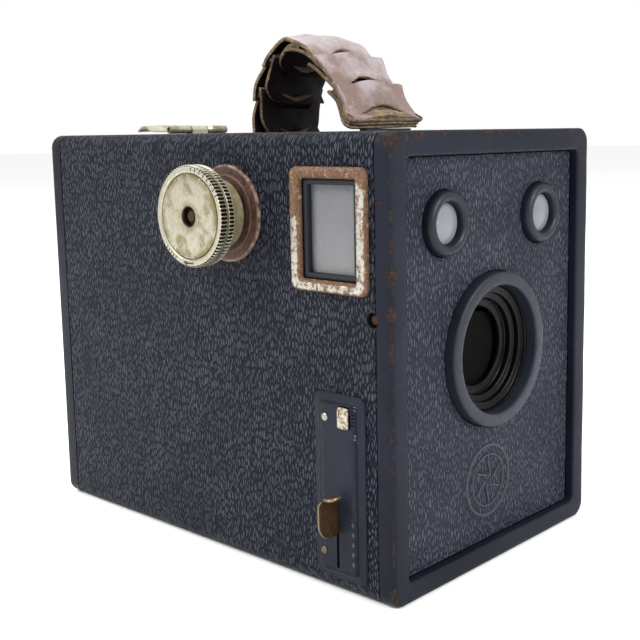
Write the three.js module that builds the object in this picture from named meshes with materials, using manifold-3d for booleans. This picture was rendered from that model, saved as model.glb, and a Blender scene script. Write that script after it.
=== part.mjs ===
// Box camera for roll film, negative size 6 x 9 cm.  Millimetres, +Z up.
// Origin: centre of the bottom face.  The lens looks along -Y, the winding knob is on the -X side.

import * as THREE from "three";
import { mergeVertices } from "three/addons/utils/BufferGeometryUtils.js";
import Module from "manifold-3d";

const wasm = await Module();
wasm.setup();

// ---- driving dimensions ------------------------------------------------------------------
const WIDTH = 83; // across the two sides, covering included
const DEPTH = 130; // front frame face to rear cover face
const HEIGHT = 108;
const EDGE_RADIUS = 3.5; // rounding of the four long edges
const COVERING = 0.5; // thickness of the leatherette
const SKIN_GAP = 0.1; // air between a skin and the sheet behind it
const SHEET = 1.0; // body shell sheet
const THIN = 0.8; // inner brackets and plates
const GAP = 0.3; // clearance between neighbouring pieces
const CAP_DEPTH = 4.5; // length of the front frame and rear cover skirts
const CAP_SHEET = 0.9;

const HALF_W = WIDTH / 2;
const FRONT = -DEPTH / 2;
const REAR = DEPTH / 2;
const FRONT_SEAM = FRONT + CAP_DEPTH;
const REAR_SEAM = REAR - CAP_DEPTH - 0.5;

const LENS_Z = 54;
const BEZEL = { outer: 19.4, inner: 16, proud: 0.5 };
const TUNNEL = { back: -57, opening: 10 };
const RECESS = { halfX: 36, low: 5, high: 102.3, depth: 2.4, radius: 1.5 };
const FINDER = { x: 20, z: 86.6, bezel: 7.7, glass: 5 };
const KNOB = { y: -12.5, z: 88.4, head: 12.3, neck: 8, face: -53.9, back: -49.9 };
const SIDE_FINDER = { y0: -58.7, y1: -35.2, z0: 71.6, z1: 100.2, rim: 3 };
const TOP_FINDER = { x0: 9, x1: 31, y0: -58.8, y1: -34.8, rim: 3 };
const SHUTTER = { y0: -57.1, y1: -41.4, z0: 3.8, z1: 48.4, face: -42.4 };
const LEVER = { y: -48.6, low: 14.7, high: 24, reach: -48.8, travel: 8, sheet: 0.5 };
const BLADE = { z: 33, radius: 29.5, front: -55.8, sheet: 0.4, hole: 6, orbit: 21, swing: 100 };
const SPOOL = { y: -12.5, halfLength: 32.8, flange: 12.6, core: 5, drop: 34.4 };
const GATE = { halfX: 28, halfZ: 42, face: 58.4 };
const CONE_FRONT = { y: -49, half: 8 };
const CARRIER_SIDE = 35.6; // outer face of a carrier side plate
const ROLLER = { y: 51, rise: 46.5, radius: 3 };
const HINGE = { y: REAR + 1.4, z: 1.6, pin: 0.6, bore: 0.9, knuckle: 1.5, halfX: 14 };
const LATCH = { y: 48, z: HEIGHT + 1.3, halfX: 11.3, roll: 1.2, bore: 0.75, pin: 0.45, tip: 64 };
const STRAP = { half: 13, endHalf: 16, thick: 2.6, links: 5 };

// ---- helpers: every helper returns a manifold solid in the part's frame ---------------------
const group = new THREE.Group();
group.name = "box_camera";

function solid(geometry) {
  const bare = geometry.index ? geometry.toNonIndexed() : geometry.clone();
  bare.deleteAttribute("normal");
  bare.deleteAttribute("uv");
  const merged = mergeVertices(bare, 1e-4);
  const triVerts = new Uint32Array(merged.index.array);
  const vertProperties = new Float32Array(merged.attributes.position.array);
  const made = new wasm.Manifold(new wasm.Mesh({ numProp: 3, vertProperties, triVerts }));
  if (made.volume() > 0) return made;
  for (let i = 0; i < triVerts.length; i += 3) {
    [triVerts[i + 1], triVerts[i + 2]] = [triVerts[i + 2], triVerts[i + 1]];
  }
  return new wasm.Manifold(new wasm.Mesh({ numProp: 3, vertProperties, triVerts }));
}

function box(x0, x1, y0, y1, z0, z1) {
  const geometry = new THREE.BoxGeometry(x1 - x0, y1 - y0, z1 - z0);
  geometry.translate((x0 + x1) / 2, (y0 + y1) / 2, (z0 + z1) / 2);
  return solid(geometry);
}

// Turns a geometry made along its own Y axis so that it runs along X, Y or Z.
function turnTo(axis, geometry) {
  if (axis === "x") geometry.rotateZ(-Math.PI / 2);
  if (axis === "z") geometry.rotateX(Math.PI / 2);
  return geometry;
}

// A round solid about an axis through `at`; profile points are [radius, place along the axis].
function turned(axis, at, profile, segments = 24) {
  const points = profile.map(([radius, along]) => new THREE.Vector2(radius, along));
  const geometry = turnTo(axis, new THREE.LatheGeometry(points, segments));
  geometry.translate(at[0], at[1], at[2]);
  return solid(geometry);
}

// A round bar between two places along the axis, given in either order.
function rod(axis, at, radius, from, to, segments = 16) {
  const low = Math.min(from, to);
  const high = Math.max(from, to);
  return turned(axis, at, [[0, low], [radius, low], [radius, high], [0, high]], segments);
}

function tube(axis, at, inner, outer, from, to, segments = 20) {
  const profile = [[inner, from], [outer, from], [outer, to], [inner, to], [inner, from]];
  return turned(axis, at, profile, segments);
}

function roundedShape(u0, u1, v0, v1, radius) {
  const shape = new THREE.Shape();
  shape.moveTo(u0 + radius, v0);
  shape.lineTo(u1 - radius, v0);
  shape.absarc(u1 - radius, v0 + radius, radius, -Math.PI / 2, 0, false);
  shape.lineTo(u1, v1 - radius);
  shape.absarc(u1 - radius, v1 - radius, radius, 0, Math.PI / 2, false);
  shape.lineTo(u0 + radius, v1);
  shape.absarc(u0 + radius, v1 - radius, radius, Math.PI / 2, Math.PI, false);
  shape.lineTo(u0, v0 + radius);
  shape.absarc(u0 + radius, v0 + radius, radius, Math.PI, Math.PI * 1.5, false);
  return shape;
}

function polygon(points) {
  return new THREE.Shape(points.map(([u, v]) => new THREE.Vector2(u, v)));
}

// Extrudes a shape drawn in (y, z) along X, in (x, z) along Y, or in (x, y) along Z.
function extruded(axis, shape, from, to, curveSegments = 3) {
  const depth = to - from;
  const geometry = new THREE.ExtrudeGeometry(shape, { depth, bevelEnabled: false, curveSegments });
  const x = new THREE.Vector3(1, 0, 0);
  const y = new THREE.Vector3(0, 1, 0);
  const z = new THREE.Vector3(0, 0, 1);
  const turn = new THREE.Matrix4();
  if (axis === "x") turn.makeBasis(y, z, x).setPosition(from, 0, 0);
  if (axis === "y") turn.makeBasis(x, z, y.negate()).setPosition(0, to, 0);
  if (axis === "z") turn.makeBasis(x, y, z).setPosition(0, 0, from);
  geometry.applyMatrix4(turn);
  return solid(geometry);
}

// A box with its edges rounded about the Y axis: half width and height range, from y0 to y1.
function sleeve(inset, y0, y1) {
  const radius = Math.max(EDGE_RADIUS - inset, 1);
  const shape = roundedShape(inset - HALF_W, HALF_W - inset, inset, HEIGHT - inset, radius);
  return extruded("y", shape, y0, y1, 4);
}

function material(color, roughness, metalness) {
  return new THREE.MeshStandardMaterial({ color, roughness, metalness });
}

const finish = {
  leatherette: material(0x32343c, 0.75, 0),
  enamel: material(0x343a46, 0.35, 0.2),
  blackPaint: material(0x121316, 0.6, 0.2),
  nickel: material(0xc9c2ae, 0.35, 1),
  rustySteel: material(0x5c3424, 0.8, 0.6),
  bronze: material(0x5a4324, 0.4, 0.9),
  brass: material(0xa98f52, 0.35, 1),
  steel: material(0x8d9095, 0.4, 1),
  zincSheet: material(0x6f7276, 0.5, 0.8),
  milkGlass: material(0xa9aaae, 0.4, 0),
  clearGlass: material(0xcfd8dc, 0.05, 0),
  mirror: material(0xd8dcdf, 0.05, 1),
  rubyPlastic: material(0x7a1410, 0.3, 0),
  strapLeather: material(0x5b322a, 0.45, 0),
};

function add(name, shape, look) {
  const given = shape.getMesh();
  const geometry = new THREE.BufferGeometry();
  geometry.setAttribute("position", new THREE.BufferAttribute(given.vertProperties, 3));
  geometry.setIndex(new THREE.BufferAttribute(given.triVerts, 1));
  const flat = geometry.toNonIndexed();
  flat.computeVertexNormals();
  const mesh = new THREE.Mesh(flat, look);
  mesh.name = name;
  group.add(mesh);
}

// ---- body: shell, covering, front ---------------------------------------------------------
const SHELL_INSET = COVERING + SKIN_GAP;
const SCREW = { y: -59.3, z: 66.5, hole: 1.9, head: 1.4, headDepth: 0.7, shank: 0.9, tip: 37 };
const FAR = 70; // reach of a cutting tool that must pass right through

// The slot that the shutter lever runs in, cut through plate, covering and shell.
function leverSlot(side) {
  const y0 = LEVER.y - LEVER.sheet / 2 - side;
  const y1 = LEVER.y + LEVER.sheet / 2 + side;
  return box(-HALF_W - 3, -HALF_W + 3, y0, y1, LEVER.low - LEVER.travel - side, LEVER.high + side);
}

const SELECTOR = { y0: -52.9, y1: -49.5, z0: 40.6, z1: 45.7, travel: 2.5, neck: 1.4 };

function selectorSlot() {
  const low = SELECTOR.z0 + 0.5;
  const high = SELECTOR.z1 - 0.3;
  return box(-HALF_W - 3, -HALF_W + 3, SELECTOR.y0 + 0.6, SELECTOR.y1 - 0.6, low, high);
}

function screwHole(side) {
  return rod("x", [0, SCREW.y, SCREW.z], SCREW.hole, 0, side * FAR, 20);
}

function bodyHoles() {
  const at = [0, KNOB.y, KNOB.z];
  const finderWell = box(
    -60, 0,
    SIDE_FINDER.y0 + SIDE_FINDER.rim + GAP, SIDE_FINDER.y1 - SIDE_FINDER.rim + GAP,
    SIDE_FINDER.z0 + SIDE_FINDER.rim - GAP, SIDE_FINDER.z1 - SIDE_FINDER.rim + GAP,
  );
  return rod("x", at, 3.4, -60, 0)
    .add(finderWell)
    .add(leverSlot(0.6))
    .add(selectorSlot())
    .add(screwHole(-1))
    .add(screwHole(1));
}

function topWindow(inset, below) {
  const t = TOP_FINDER;
  return box(t.x0 + inset, t.x1 - inset, t.y0 + inset, t.y1 - inset, below, HEIGHT + 1);
}

function buildShell() {
  const y0 = FRONT_SEAM + GAP;
  const outer = sleeve(SHELL_INSET, y0, REAR_SEAM);
  const inner = sleeve(SHELL_INSET + SHEET, y0 - 1, REAR_SEAM + 1);
  const shell = outer.subtract(inner).subtract(bodyHoles()).subtract(topWindow(2, HEIGHT - 6));
  add("body_shell", shell, finish.zincSheet);

  const skin = sleeve(0, y0, REAR_SEAM).subtract(sleeve(COVERING, y0 - 1, REAR_SEAM + 1));
  const foot = box(-3.4, 3.4, LATCH.y - 1.6, LATCH.y + 1.6, HEIGHT - 2, HEIGHT + 1);
  const cuts = bodyHoles().add(topWindow(-GAP, HEIGHT - 3)).add(foot).add(strapFeet(GAP));
  add("body_leatherette", skin.subtract(cuts), finish.leatherette);
}

function buildFront() {
  const r = RECESS;
  const open = extruded("y", roundedShape(-r.halfX, r.halfX, r.low, r.high, r.radius), FRONT - 1, REAR);
  const lip = r.radius + CAP_SHEET;
  const lipShape = roundedShape(
    -r.halfX - CAP_SHEET, r.halfX + CAP_SHEET, r.low - CAP_SHEET, r.high + CAP_SHEET, lip,
  );
  const panelFront = FRONT + r.depth + COVERING;
  const lipSolid = extruded("y", lipShape, FRONT + CAP_SHEET / 2, panelFront - 2 * GAP);
  const hollow = sleeve(CAP_SHEET, FRONT + CAP_SHEET, 0).subtract(lipSolid);
  const frame = sleeve(0, FRONT, FRONT_SEAM).subtract(hollow).subtract(open);
  add("front_frame", frame.subtract(screwHole(-1)).subtract(screwHole(1)), finish.enamel);

  const lensAt = [0, 0, LENS_Z];
  const panelBack = panelFront + SHEET;
  let panel = sleeve(CAP_SHEET + GAP, panelFront, panelBack);
  panel = panel.subtract(rod("y", lensAt, BEZEL.outer - 1.2, -FAR, 0, 32));
  let skin = extruded(
    "y", roundedShape(-r.halfX + GAP, r.halfX - GAP, r.low + GAP, r.high - GAP, r.radius),
    panelFront - SKIN_GAP - COVERING, panelFront - SKIN_GAP,
  );
  skin = skin.subtract(rod("y", lensAt, BEZEL.outer + GAP, -FAR, 0, 32));
  for (const x of [-FINDER.x, FINDER.x]) {
    const at = [x, 0, FINDER.z];
    panel = panel.subtract(rod("y", at, FINDER.glass, -FAR, 0, 24));
    skin = skin.subtract(rod("y", at, FINDER.bezel + GAP, -FAR, 0, 24));
  }
  add("front_panel", panel, finish.blackPaint);
  add("front_leatherette", skin, finish.leatherette);

  for (const [side, name] of [[-1, "left"], [1, "right"]]) {
    const at = [0, SCREW.y, SCREW.z];
    const face = HALF_W - SHELL_INSET - 0.2;
    const shank = rod("x", at, SCREW.shank, side * SCREW.tip, side * face, 10);
    const top = rod("x", at, SCREW.head, side * (face - SCREW.headDepth), side * face, 12);
    add(`front_screw_${name}`, shank.add(top), finish.rustySteel);
  }
}

// ---- taking lens, tunnel and shutter -------------------------------------------------------
function buildLensFront() {
  const at = [0, 0, LENS_Z];
  const face = FRONT - BEZEL.proud;
  const seat = FRONT + RECESS.depth + COVERING - 0.2;
  const bezel = turned("y", at, [
    [BEZEL.inner, seat], [BEZEL.inner, face + 1.2], [BEZEL.inner + 0.4, face + 0.4],
    [BEZEL.inner + 1, face], [BEZEL.outer - 0.8, face], [BEZEL.outer - 0.2, face + 0.5],
    [BEZEL.outer, face + 1.3], [BEZEL.outer, seat], [BEZEL.inner, seat],
  ], 32);
  add("lens_bezel", bezel, finish.enamel);

  const steps = [[15.6, -62.3], [15.6, -61.6], [13.8, -61.2], [13.8, -59.9], [12.2, -59.6], [12.2, -58.2]];
  const tunnel = turned("y", at, [
    ...steps, [TUNNEL.opening, -57.8], [TUNNEL.opening, TUNNEL.back], [14, TUNNEL.back],
    [17.4, -61.2], [17.4, -62.3], [15.6, -62.3],
  ], 28);
  add("lens_tunnel", tunnel, finish.blackPaint);
}

const CRANK = { radius: 5.22, pin: 0.8 }; // crank pin that the lever's yoke drives
const YOKE_Y = BLADE.front + BLADE.sheet + 0.5;
const BASE_Y = YOKE_Y + 1.5;

function buildShutter() {
  const at = [0, 0, BLADE.z];
  const half = THREE.MathUtils.degToRad(BLADE.swing / 2);
  const back = BLADE.front + BLADE.sheet;
  const holeAt = [BLADE.orbit * Math.sin(half), 0, BLADE.z + BLADE.orbit * Math.cos(half)];
  const pinAt = [-CRANK.radius * Math.cos(half), 0, BLADE.z + CRANK.radius * Math.sin(half)];
  const blade = rod("y", at, BLADE.radius, BLADE.front, back, 32)
    .subtract(rod("y", holeAt, BLADE.hole, -FAR, 0, 16))
    .subtract(rod("y", at, 1.8, -FAR, 0, 20))
    .add(rod("y", pinAt, CRANK.pin, back - 0.1, back + 1.3, 16));
  add("shutter_blade", blade, finish.blackPaint);

  const pivot = rod("y", at, 1.4, BLADE.front - 0.4, BASE_Y + THIN + 0.6, 20)
    .add(rod("y", at, 2.6, BLADE.front - 0.8, BLADE.front - 0.3, 20));
  add("shutter_pivot", pivot, finish.steel);

  const lensAt = [0, 0, LENS_Z];
  const base = extruded("y", roundedShape(-34.5, 36, 4, 72, 3), BASE_Y, BASE_Y + THIN)
    .subtract(rod("y", at, 1.7, -FAR, 0, 20))
    .subtract(rod("y", lensAt, 6.2, -FAR, 0, 32));
  add("shutter_base_plate", base, finish.blackPaint);

  const cellBack = BASE_Y + THIN + 0.2;
  const cell = turned("y", lensAt, [
    [6.3, cellBack], [9, cellBack], [9, cellBack + 2.6], [7.4, cellBack + 2.6],
    [7.4, cellBack + 0.6], [6.3, cellBack + 0.6], [6.3, cellBack],
  ], 20);
  add("lens_cell", cell, finish.brass);
  const front = cellBack + 0.8;
  const lens = turned("y", lensAt, [
    [0, front + 0.7], [3.5, front + 0.5], [7.1, front], [7.1, front + 1.2],
    [3.6, front + 2.1], [0, front + 2.4],
  ], 20);
  add("lens", lens, finish.clearGlass);
}

function buildShutterSide() {
  const s = SHUTTER;
  const seat = -HALF_W - SKIN_GAP;
  const outline = roundedShape(s.y0, s.y1, s.z0, s.z1, 2);
  const tray = roundedShape(s.y0 + 1.2, s.y1 - 1.2, s.z0 + 1.2, s.z1 - 1.2, 1.2);
  let plate = extruded("x", outline, s.face, seat).subtract(extruded("x", tray, s.face - 1, s.face + 0.2));
  const rivets = [[-45.1, 42.5, "top"], [-44.2, 9.9, "bottom"]];
  for (const [y, z, name] of rivets) {
    plate = plate.subtract(rod("x", [0, y, z], 1, -60, 0, 10));
    const shank = rod("x", [0, y, z], 0.7, s.face, seat, 8);
    const head = rod("x", [0, y, z], 0.9, s.face - 0.4, s.face + 0.1, 10);
    add(`shutter_plate_rivet_${name}`, shank.add(head), finish.brass);
  }
  plate = plate.subtract(leverSlot(0.25)).subtract(selectorSlot());
  add("shutter_plate", plate, finish.enamel);

  buildLever();
  const tab = box(s.face - 0.9, s.face - 0.15, SELECTOR.y0, SELECTOR.y1, SELECTOR.z0, SELECTOR.z1);
  const neckTop = SELECTOR.z1 - 0.6;
  const neckLow = neckTop - SELECTOR.neck;
  const neck = box(s.face - 0.8, -38.6, SELECTOR.y0 + 0.9, SELECTOR.y1 - 0.9, neckLow, neckTop);
  const foot = box(-39.2, -38.6, SELECTOR.y0, SELECTOR.y1, neckLow, neckTop + 2);
  add("time_selector", tab.add(neck).add(foot), finish.nickel);
}

// Thumb fin outside, stem through the slot, arm across to the yoke that drives the blade.
function buildLever() {
  const half = LEVER.sheet / 2;
  const outer = LEVER.reach;
  const fin = new THREE.Shape();
  const root = -37.9;
  fin.moveTo(root, LEVER.low + 1);
  fin.lineTo(outer + 4.8, LEVER.low);
  fin.absarc(outer + 4.2, LEVER.low + 4.2, 4.2, -Math.PI / 2, -Math.PI, true);
  fin.lineTo(outer, LEVER.high - 1);
  fin.lineTo(outer + 1, LEVER.high);
  fin.lineTo(root, LEVER.high);
  const plane = extruded("y", fin, LEVER.y - half, LEVER.y + half, 8);
  const lip = box(-47.4, -43.6, LEVER.y - 3.2, LEVER.y + half, LEVER.high - 0.4, LEVER.high + 0.6);
  const armLow = BLADE.z + LEVER.travel / 2 - 2;
  const armHigh = BLADE.z + LEVER.travel / 2 + 2;
  const web = box(root - 0.5, root, YOKE_Y, LEVER.y + half, LEVER.low + 1, armHigh);
  const arm = box(root - 0.5, -1.6, YOKE_Y, YOKE_Y + LEVER.sheet, armLow, armHigh);
  const slot = box(-7, -2.4, -60, 0, BLADE.z + LEVER.travel / 2 - 1.4, BLADE.z + LEVER.travel / 2 + 1.4);
  add("shutter_lever", plane.add(lip).add(web).add(arm.subtract(slot)), finish.bronze);

  const turns = 6;
  const spring = { x: -36.6, y: -53.3, low: armHigh + 0.5, high: 60, coil: 1.2, wire: 0.25 };
  const points = [];
  for (let i = 0; i <= turns * 8; i++) {
    const angle = (i / 8) * Math.PI * 2;
    const z = spring.low + (spring.high - spring.low) * (i / (turns * 8));
    points.push(new THREE.Vector3(
      spring.x + spring.coil * Math.cos(angle), spring.y + spring.coil * Math.sin(angle), z,
    ));
  }
  const path = new THREE.CatmullRomCurve3(points);
  const section = new THREE.Shape().absarc(0, 0, spring.wire, 0, Math.PI * 2, false);
  const options = { steps: turns * 7, extrudePath: path, curveSegments: 2, bevelEnabled: false };
  add("shutter_return_spring", solid(new THREE.ExtrudeGeometry(section, options)), finish.steel);
}

// ---- brilliant finders ---------------------------------------------------------------------
function buildFinderFronts() {
  const seat = FRONT + RECESS.depth + COVERING - 0.2;
  for (const [x, name] of [[-FINDER.x, "left"], [FINDER.x, "right"]]) {
    const at = [x, 0, FINDER.z];
    const bezel = turned("y", at, [
      [FINDER.glass, seat], [FINDER.glass, -64.2], [FINDER.glass + 0.6, -64.9], [6.4, -65.1],
      [7.2, -64.8], [FINDER.bezel, -64], [FINDER.bezel, seat], [FINDER.glass, seat],
    ], 18);
    add(`finder_bezel_${name}`, bezel, finish.blackPaint);
    const rim = FINDER.glass - GAP;
    const lens = turned("y", at, [[0, -64.3], [2.5, -64.15], [rim, -63.6], [rim, -62.6], [0, -62.6]], 16);
    add(`finder_lens_${name}`, lens, finish.clearGlass);
  }
}

function turnedPlate(size, turnAxis, angle, centre) {
  const geometry = new THREE.BoxGeometry(size[0], size[1], size[2]);
  geometry.applyMatrix4(new THREE.Matrix4().makeRotationAxis(turnAxis, angle));
  geometry.translate(centre[0], centre[1], centre[2]);
  return solid(geometry);
}

function buildFinderInside() {
  const wide = HALF_W - SHELL_INSET - SHEET - GAP;
  const front = -61.0;
  const rear = -36;
  const base = 73.2;
  const top = 105.3;
  const floor = box(-wide, wide, front, rear, base, base + THIN);
  const back = box(-wide, wide, rear - THIN, rear, base + 0.3, top);
  const middle = box(-THIN / 2, THIN / 2, front, rear - 0.4, base + 0.3, top);
  add("finder_housing", floor.add(back).add(middle), finish.blackPaint);
  const quarter = Math.PI / 4;
  const up = new THREE.Vector3(0, 0, 1);
  const across = new THREE.Vector3(1, 0, 0);
  add("finder_mirror_left", turnedPlate([23, 1, 22], up, -quarter, [-19.6, -47, 86.4]), finish.mirror);
  add("finder_mirror_right", turnedPlate([20, 23, 1], across, quarter, [20, -47, 86.6]), finish.mirror);
}

function buildSideFinder() {
  const f = SIDE_FINDER;
  const face = -HALF_W - 1.4;
  const seat = -HALF_W - SKIN_GAP;
  const outer = extruded("x", roundedShape(f.y0, f.y1, f.z0, f.z1, 2), face, seat);
  const y0 = f.y0 + f.rim + 0.4;
  const y1 = f.y1 - f.rim + 0.2;
  const z0 = f.z0 + f.rim - 0.2;
  const z1 = f.z1 - f.rim + 0.3;
  const inner = extruded("x", roundedShape(y0, y1, z0, z1, 0.6), face - 1, seat + 1);
  add("side_finder_frame", outer.subtract(inner), finish.nickel);
  const mask = { face: seat + GAP, back: seat + 1.7, rim: 1.2 };
  const maskOuter = box(mask.face, mask.back, y0 + GAP, y1 - GAP, z0 + GAP, z1 - GAP);
  const maskInner = box(
    mask.face - 1, mask.back + 1, y0 + mask.rim, y1 - mask.rim, z0 + mask.rim, z1 - mask.rim,
  );
  add("side_finder_mask", maskOuter.subtract(maskInner), finish.blackPaint);
  const glassFace = mask.back + GAP;
  const glass = box(glassFace, glassFace + mask.rim, y0, y1, z0 + 0.2, z1 - 0.2);
  add("side_finder_glass", glass, finish.milkGlass);
}

function buildTopFinder() {
  const t = TOP_FINDER;
  const low = HEIGHT - COVERING;
  const outline = roundedShape(t.x0, t.x1, t.y0, t.y1, 1.5);
  const hole = box(t.x0 + t.rim, t.x1 - t.rim, t.y0 + t.rim, t.y1 - t.rim, 0, HEIGHT + 1);
  add("top_finder_frame", extruded("z", outline, low, HEIGHT).subtract(hole), finish.nickel);
  const glass = box(t.x0 + 2.3, t.x1 - 2.3, t.y0 + 2.3, t.y1 - 2.3, low - 1.3, low - 0.2);
  add("top_finder_glass", glass, finish.milkGlass);
}

// ---- winding knob --------------------------------------------------------------------------
function buildWinder() {
  const at = [0, KNOB.y, KNOB.z];
  const flange = turned("x", at, [
    [4, -42.3], [6.5, -42.7], [10.6, -42.7], [11.6, -42.5], [12, -42.1], [12, -41.6],
    [4, -41.6], [4, -42.3],
  ], 28);
  add("knob_flange", flange, finish.rustySteel);
  add("winder_washer", tube("x", at, 3, 6.5, -43.5, -43, 28), finish.steel);

  const dish = KNOB.face + 0.2;
  const knob = turned("x", at, [
    [2.8, dish], [9.8, dish], [10.4, KNOB.face], [11.8, KNOB.face], [KNOB.head, KNOB.face + 0.5],
    [KNOB.head, -52.3], [11.8, -52.1], [11.8, -51.7], [KNOB.head, -51.5], [KNOB.head, KNOB.back - 0.4],
    [11.9, KNOB.back], [KNOB.neck, KNOB.back], [KNOB.neck, -43.8], [2.8, -43.8], [2.8, dish],
  ], 26);
  add("winding_knob", knob, finish.nickel);

  const shaft = rod("x", at, 2.4, KNOB.face + 0.6, -34.6, 24)
    .add(rod("x", at, 1.5, KNOB.face, KNOB.face + 0.7, 20))
    .add(box(-34.7, -30.9, KNOB.y - 2.3, KNOB.y + 2.3, KNOB.z - 0.6, KNOB.z + 0.6));
  add("winder_shaft", shaft, finish.steel);
}

// ---- film carrier: cone, side plates, rollers, spools ---------------------------------------
// Four-sided tapered duct about the lens axis; `grow` makes it larger all round.
function taper(grow, y0, y1) {
  const slope = (y) => (y - CONE_FRONT.y) / (GATE.face - CONE_FRONT.y);
  const halfX = (y) => CONE_FRONT.half + grow + (GATE.halfX - CONE_FRONT.half) * slope(y);
  const halfZ = (y) => CONE_FRONT.half + grow + (GATE.halfZ - CONE_FRONT.half) * slope(y);
  const geometry = new THREE.BoxGeometry(1, 1, 1);
  const place = geometry.attributes.position;
  for (let i = 0; i < place.count; i++) {
    const y = place.getY(i) < 0 ? y0 : y1;
    place.setXYZ(i, 2 * place.getX(i) * halfX(y), y, LENS_Z + 2 * place.getZ(i) * halfZ(y));
  }
  return solid(geometry);
}

function buildCarrier() {
  const gate = extruded("y", roundedShape(-39.4, 39.4, 2, 106, 2), GATE.face - THIN, GATE.face);
  const nose = box(-14, 14, CONE_FRONT.y, CONE_FRONT.y + THIN, LENS_Z - 14, LENS_Z + 14);
  const leafNotch = box(-4.4, 4.4, 50, GATE.face + 1, 0, HINGE.z + 1.3);
  const cone = gate.subtract(leafNotch).add(nose).add(taper(THIN, CONE_FRONT.y, GATE.face - 0.1));
  add("film_cone", cone.subtract(taper(0, CONE_FRONT.y - 1, GATE.face + 1)), finish.blackPaint);

  for (const [side, name] of [[-1, "left"], [1, "right"]]) {
    const x0 = side < 0 ? -CARRIER_SIDE : CARRIER_SIDE - THIN;
    const x1 = x0 + THIN;
    const outline = polygon([
      [-28, 6], [-22, 3.5], [48, 2.5], [57.2, 2.5], [57.2, 105.5], [48, 105.5], [-22, 104.5], [-28, 102],
      [-28, 76], [-10, 66], [-10, 42], [-28, 32],
    ]);
    let plate = extruded("x", outline, x0, x1);
    for (const up of [-1, 1]) {
      const rollerAt = [0, ROLLER.y, LENS_Z + up * ROLLER.rise];
      plate = plate.subtract(rod("x", rollerAt, 1.6, -FAR, FAR, 16));
      const spoolAt = [0, SPOOL.y, LENS_Z + up * SPOOL.drop];
      const driven = side < 0 && up > 0;
      if (driven) {
        plate = plate.subtract(rod("x", spoolAt, 3.2, -FAR, FAR, 24));
      } else {
        const tip = side * (SPOOL.halfLength - 1.8);
        const rootX = side * (CARRIER_SIDE - THIN / 2);
        plate = plate.add(rod("x", spoolAt, 1.9, tip, rootX, 12));
      }
    }
    add(`carrier_side_${name}`, plate, finish.zincSheet);
  }
}

function buildSpool(name, z) {
  const s = SPOOL;
  const end = s.halfLength;
  const inner = end - 1;
  const bore = 2.4;
  const slotDepth = 3.2;
  const at = [0, s.y, z];
  const profile = [
    [0, -end + 5], [bore, -end + 5], [bore, -end], [s.flange, -end], [s.flange, -inner],
    [s.core, -inner], [s.core, inner], [s.flange, inner], [s.flange, end],
    [bore, end], [bore, end - 5], [0, end - 5],
  ];
  let spool = turned("x", at, profile, 16);
  for (const side of [-1, 1]) {
    const x0 = Math.min(side * (end - slotDepth), side * (end + 1));
    const x1 = Math.max(side * (end - slotDepth), side * (end + 1));
    spool = spool.subtract(box(x0, x1, s.y - 3, s.y + 3, z - 0.9, z + 0.9));
  }
  add(name, spool, finish.blackPaint);
}

function buildFilmPath() {
  buildSpool("take_up_spool", LENS_Z + SPOOL.drop);
  buildSpool("supply_spool", LENS_Z - SPOOL.drop);
  for (const [up, name] of [[1, "top"], [-1, "bottom"]]) {
    const at = [0, ROLLER.y, LENS_Z + up * ROLLER.rise];
    const end = CARRIER_SIDE + 0.6;
    const barrel = CARRIER_SIDE - THIN - 0.8;
    const roller = rod("x", at, 1.2, -end, end, 16).add(rod("x", at, ROLLER.radius, -barrel, barrel, 24));
    add(`film_roller_${name}`, roller, finish.nickel);
  }
}

// ---- rear cover, hinge and latch -----------------------------------------------------------
const RED_WINDOW = { x: 15, z: 40, radius: 5.5 };

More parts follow.
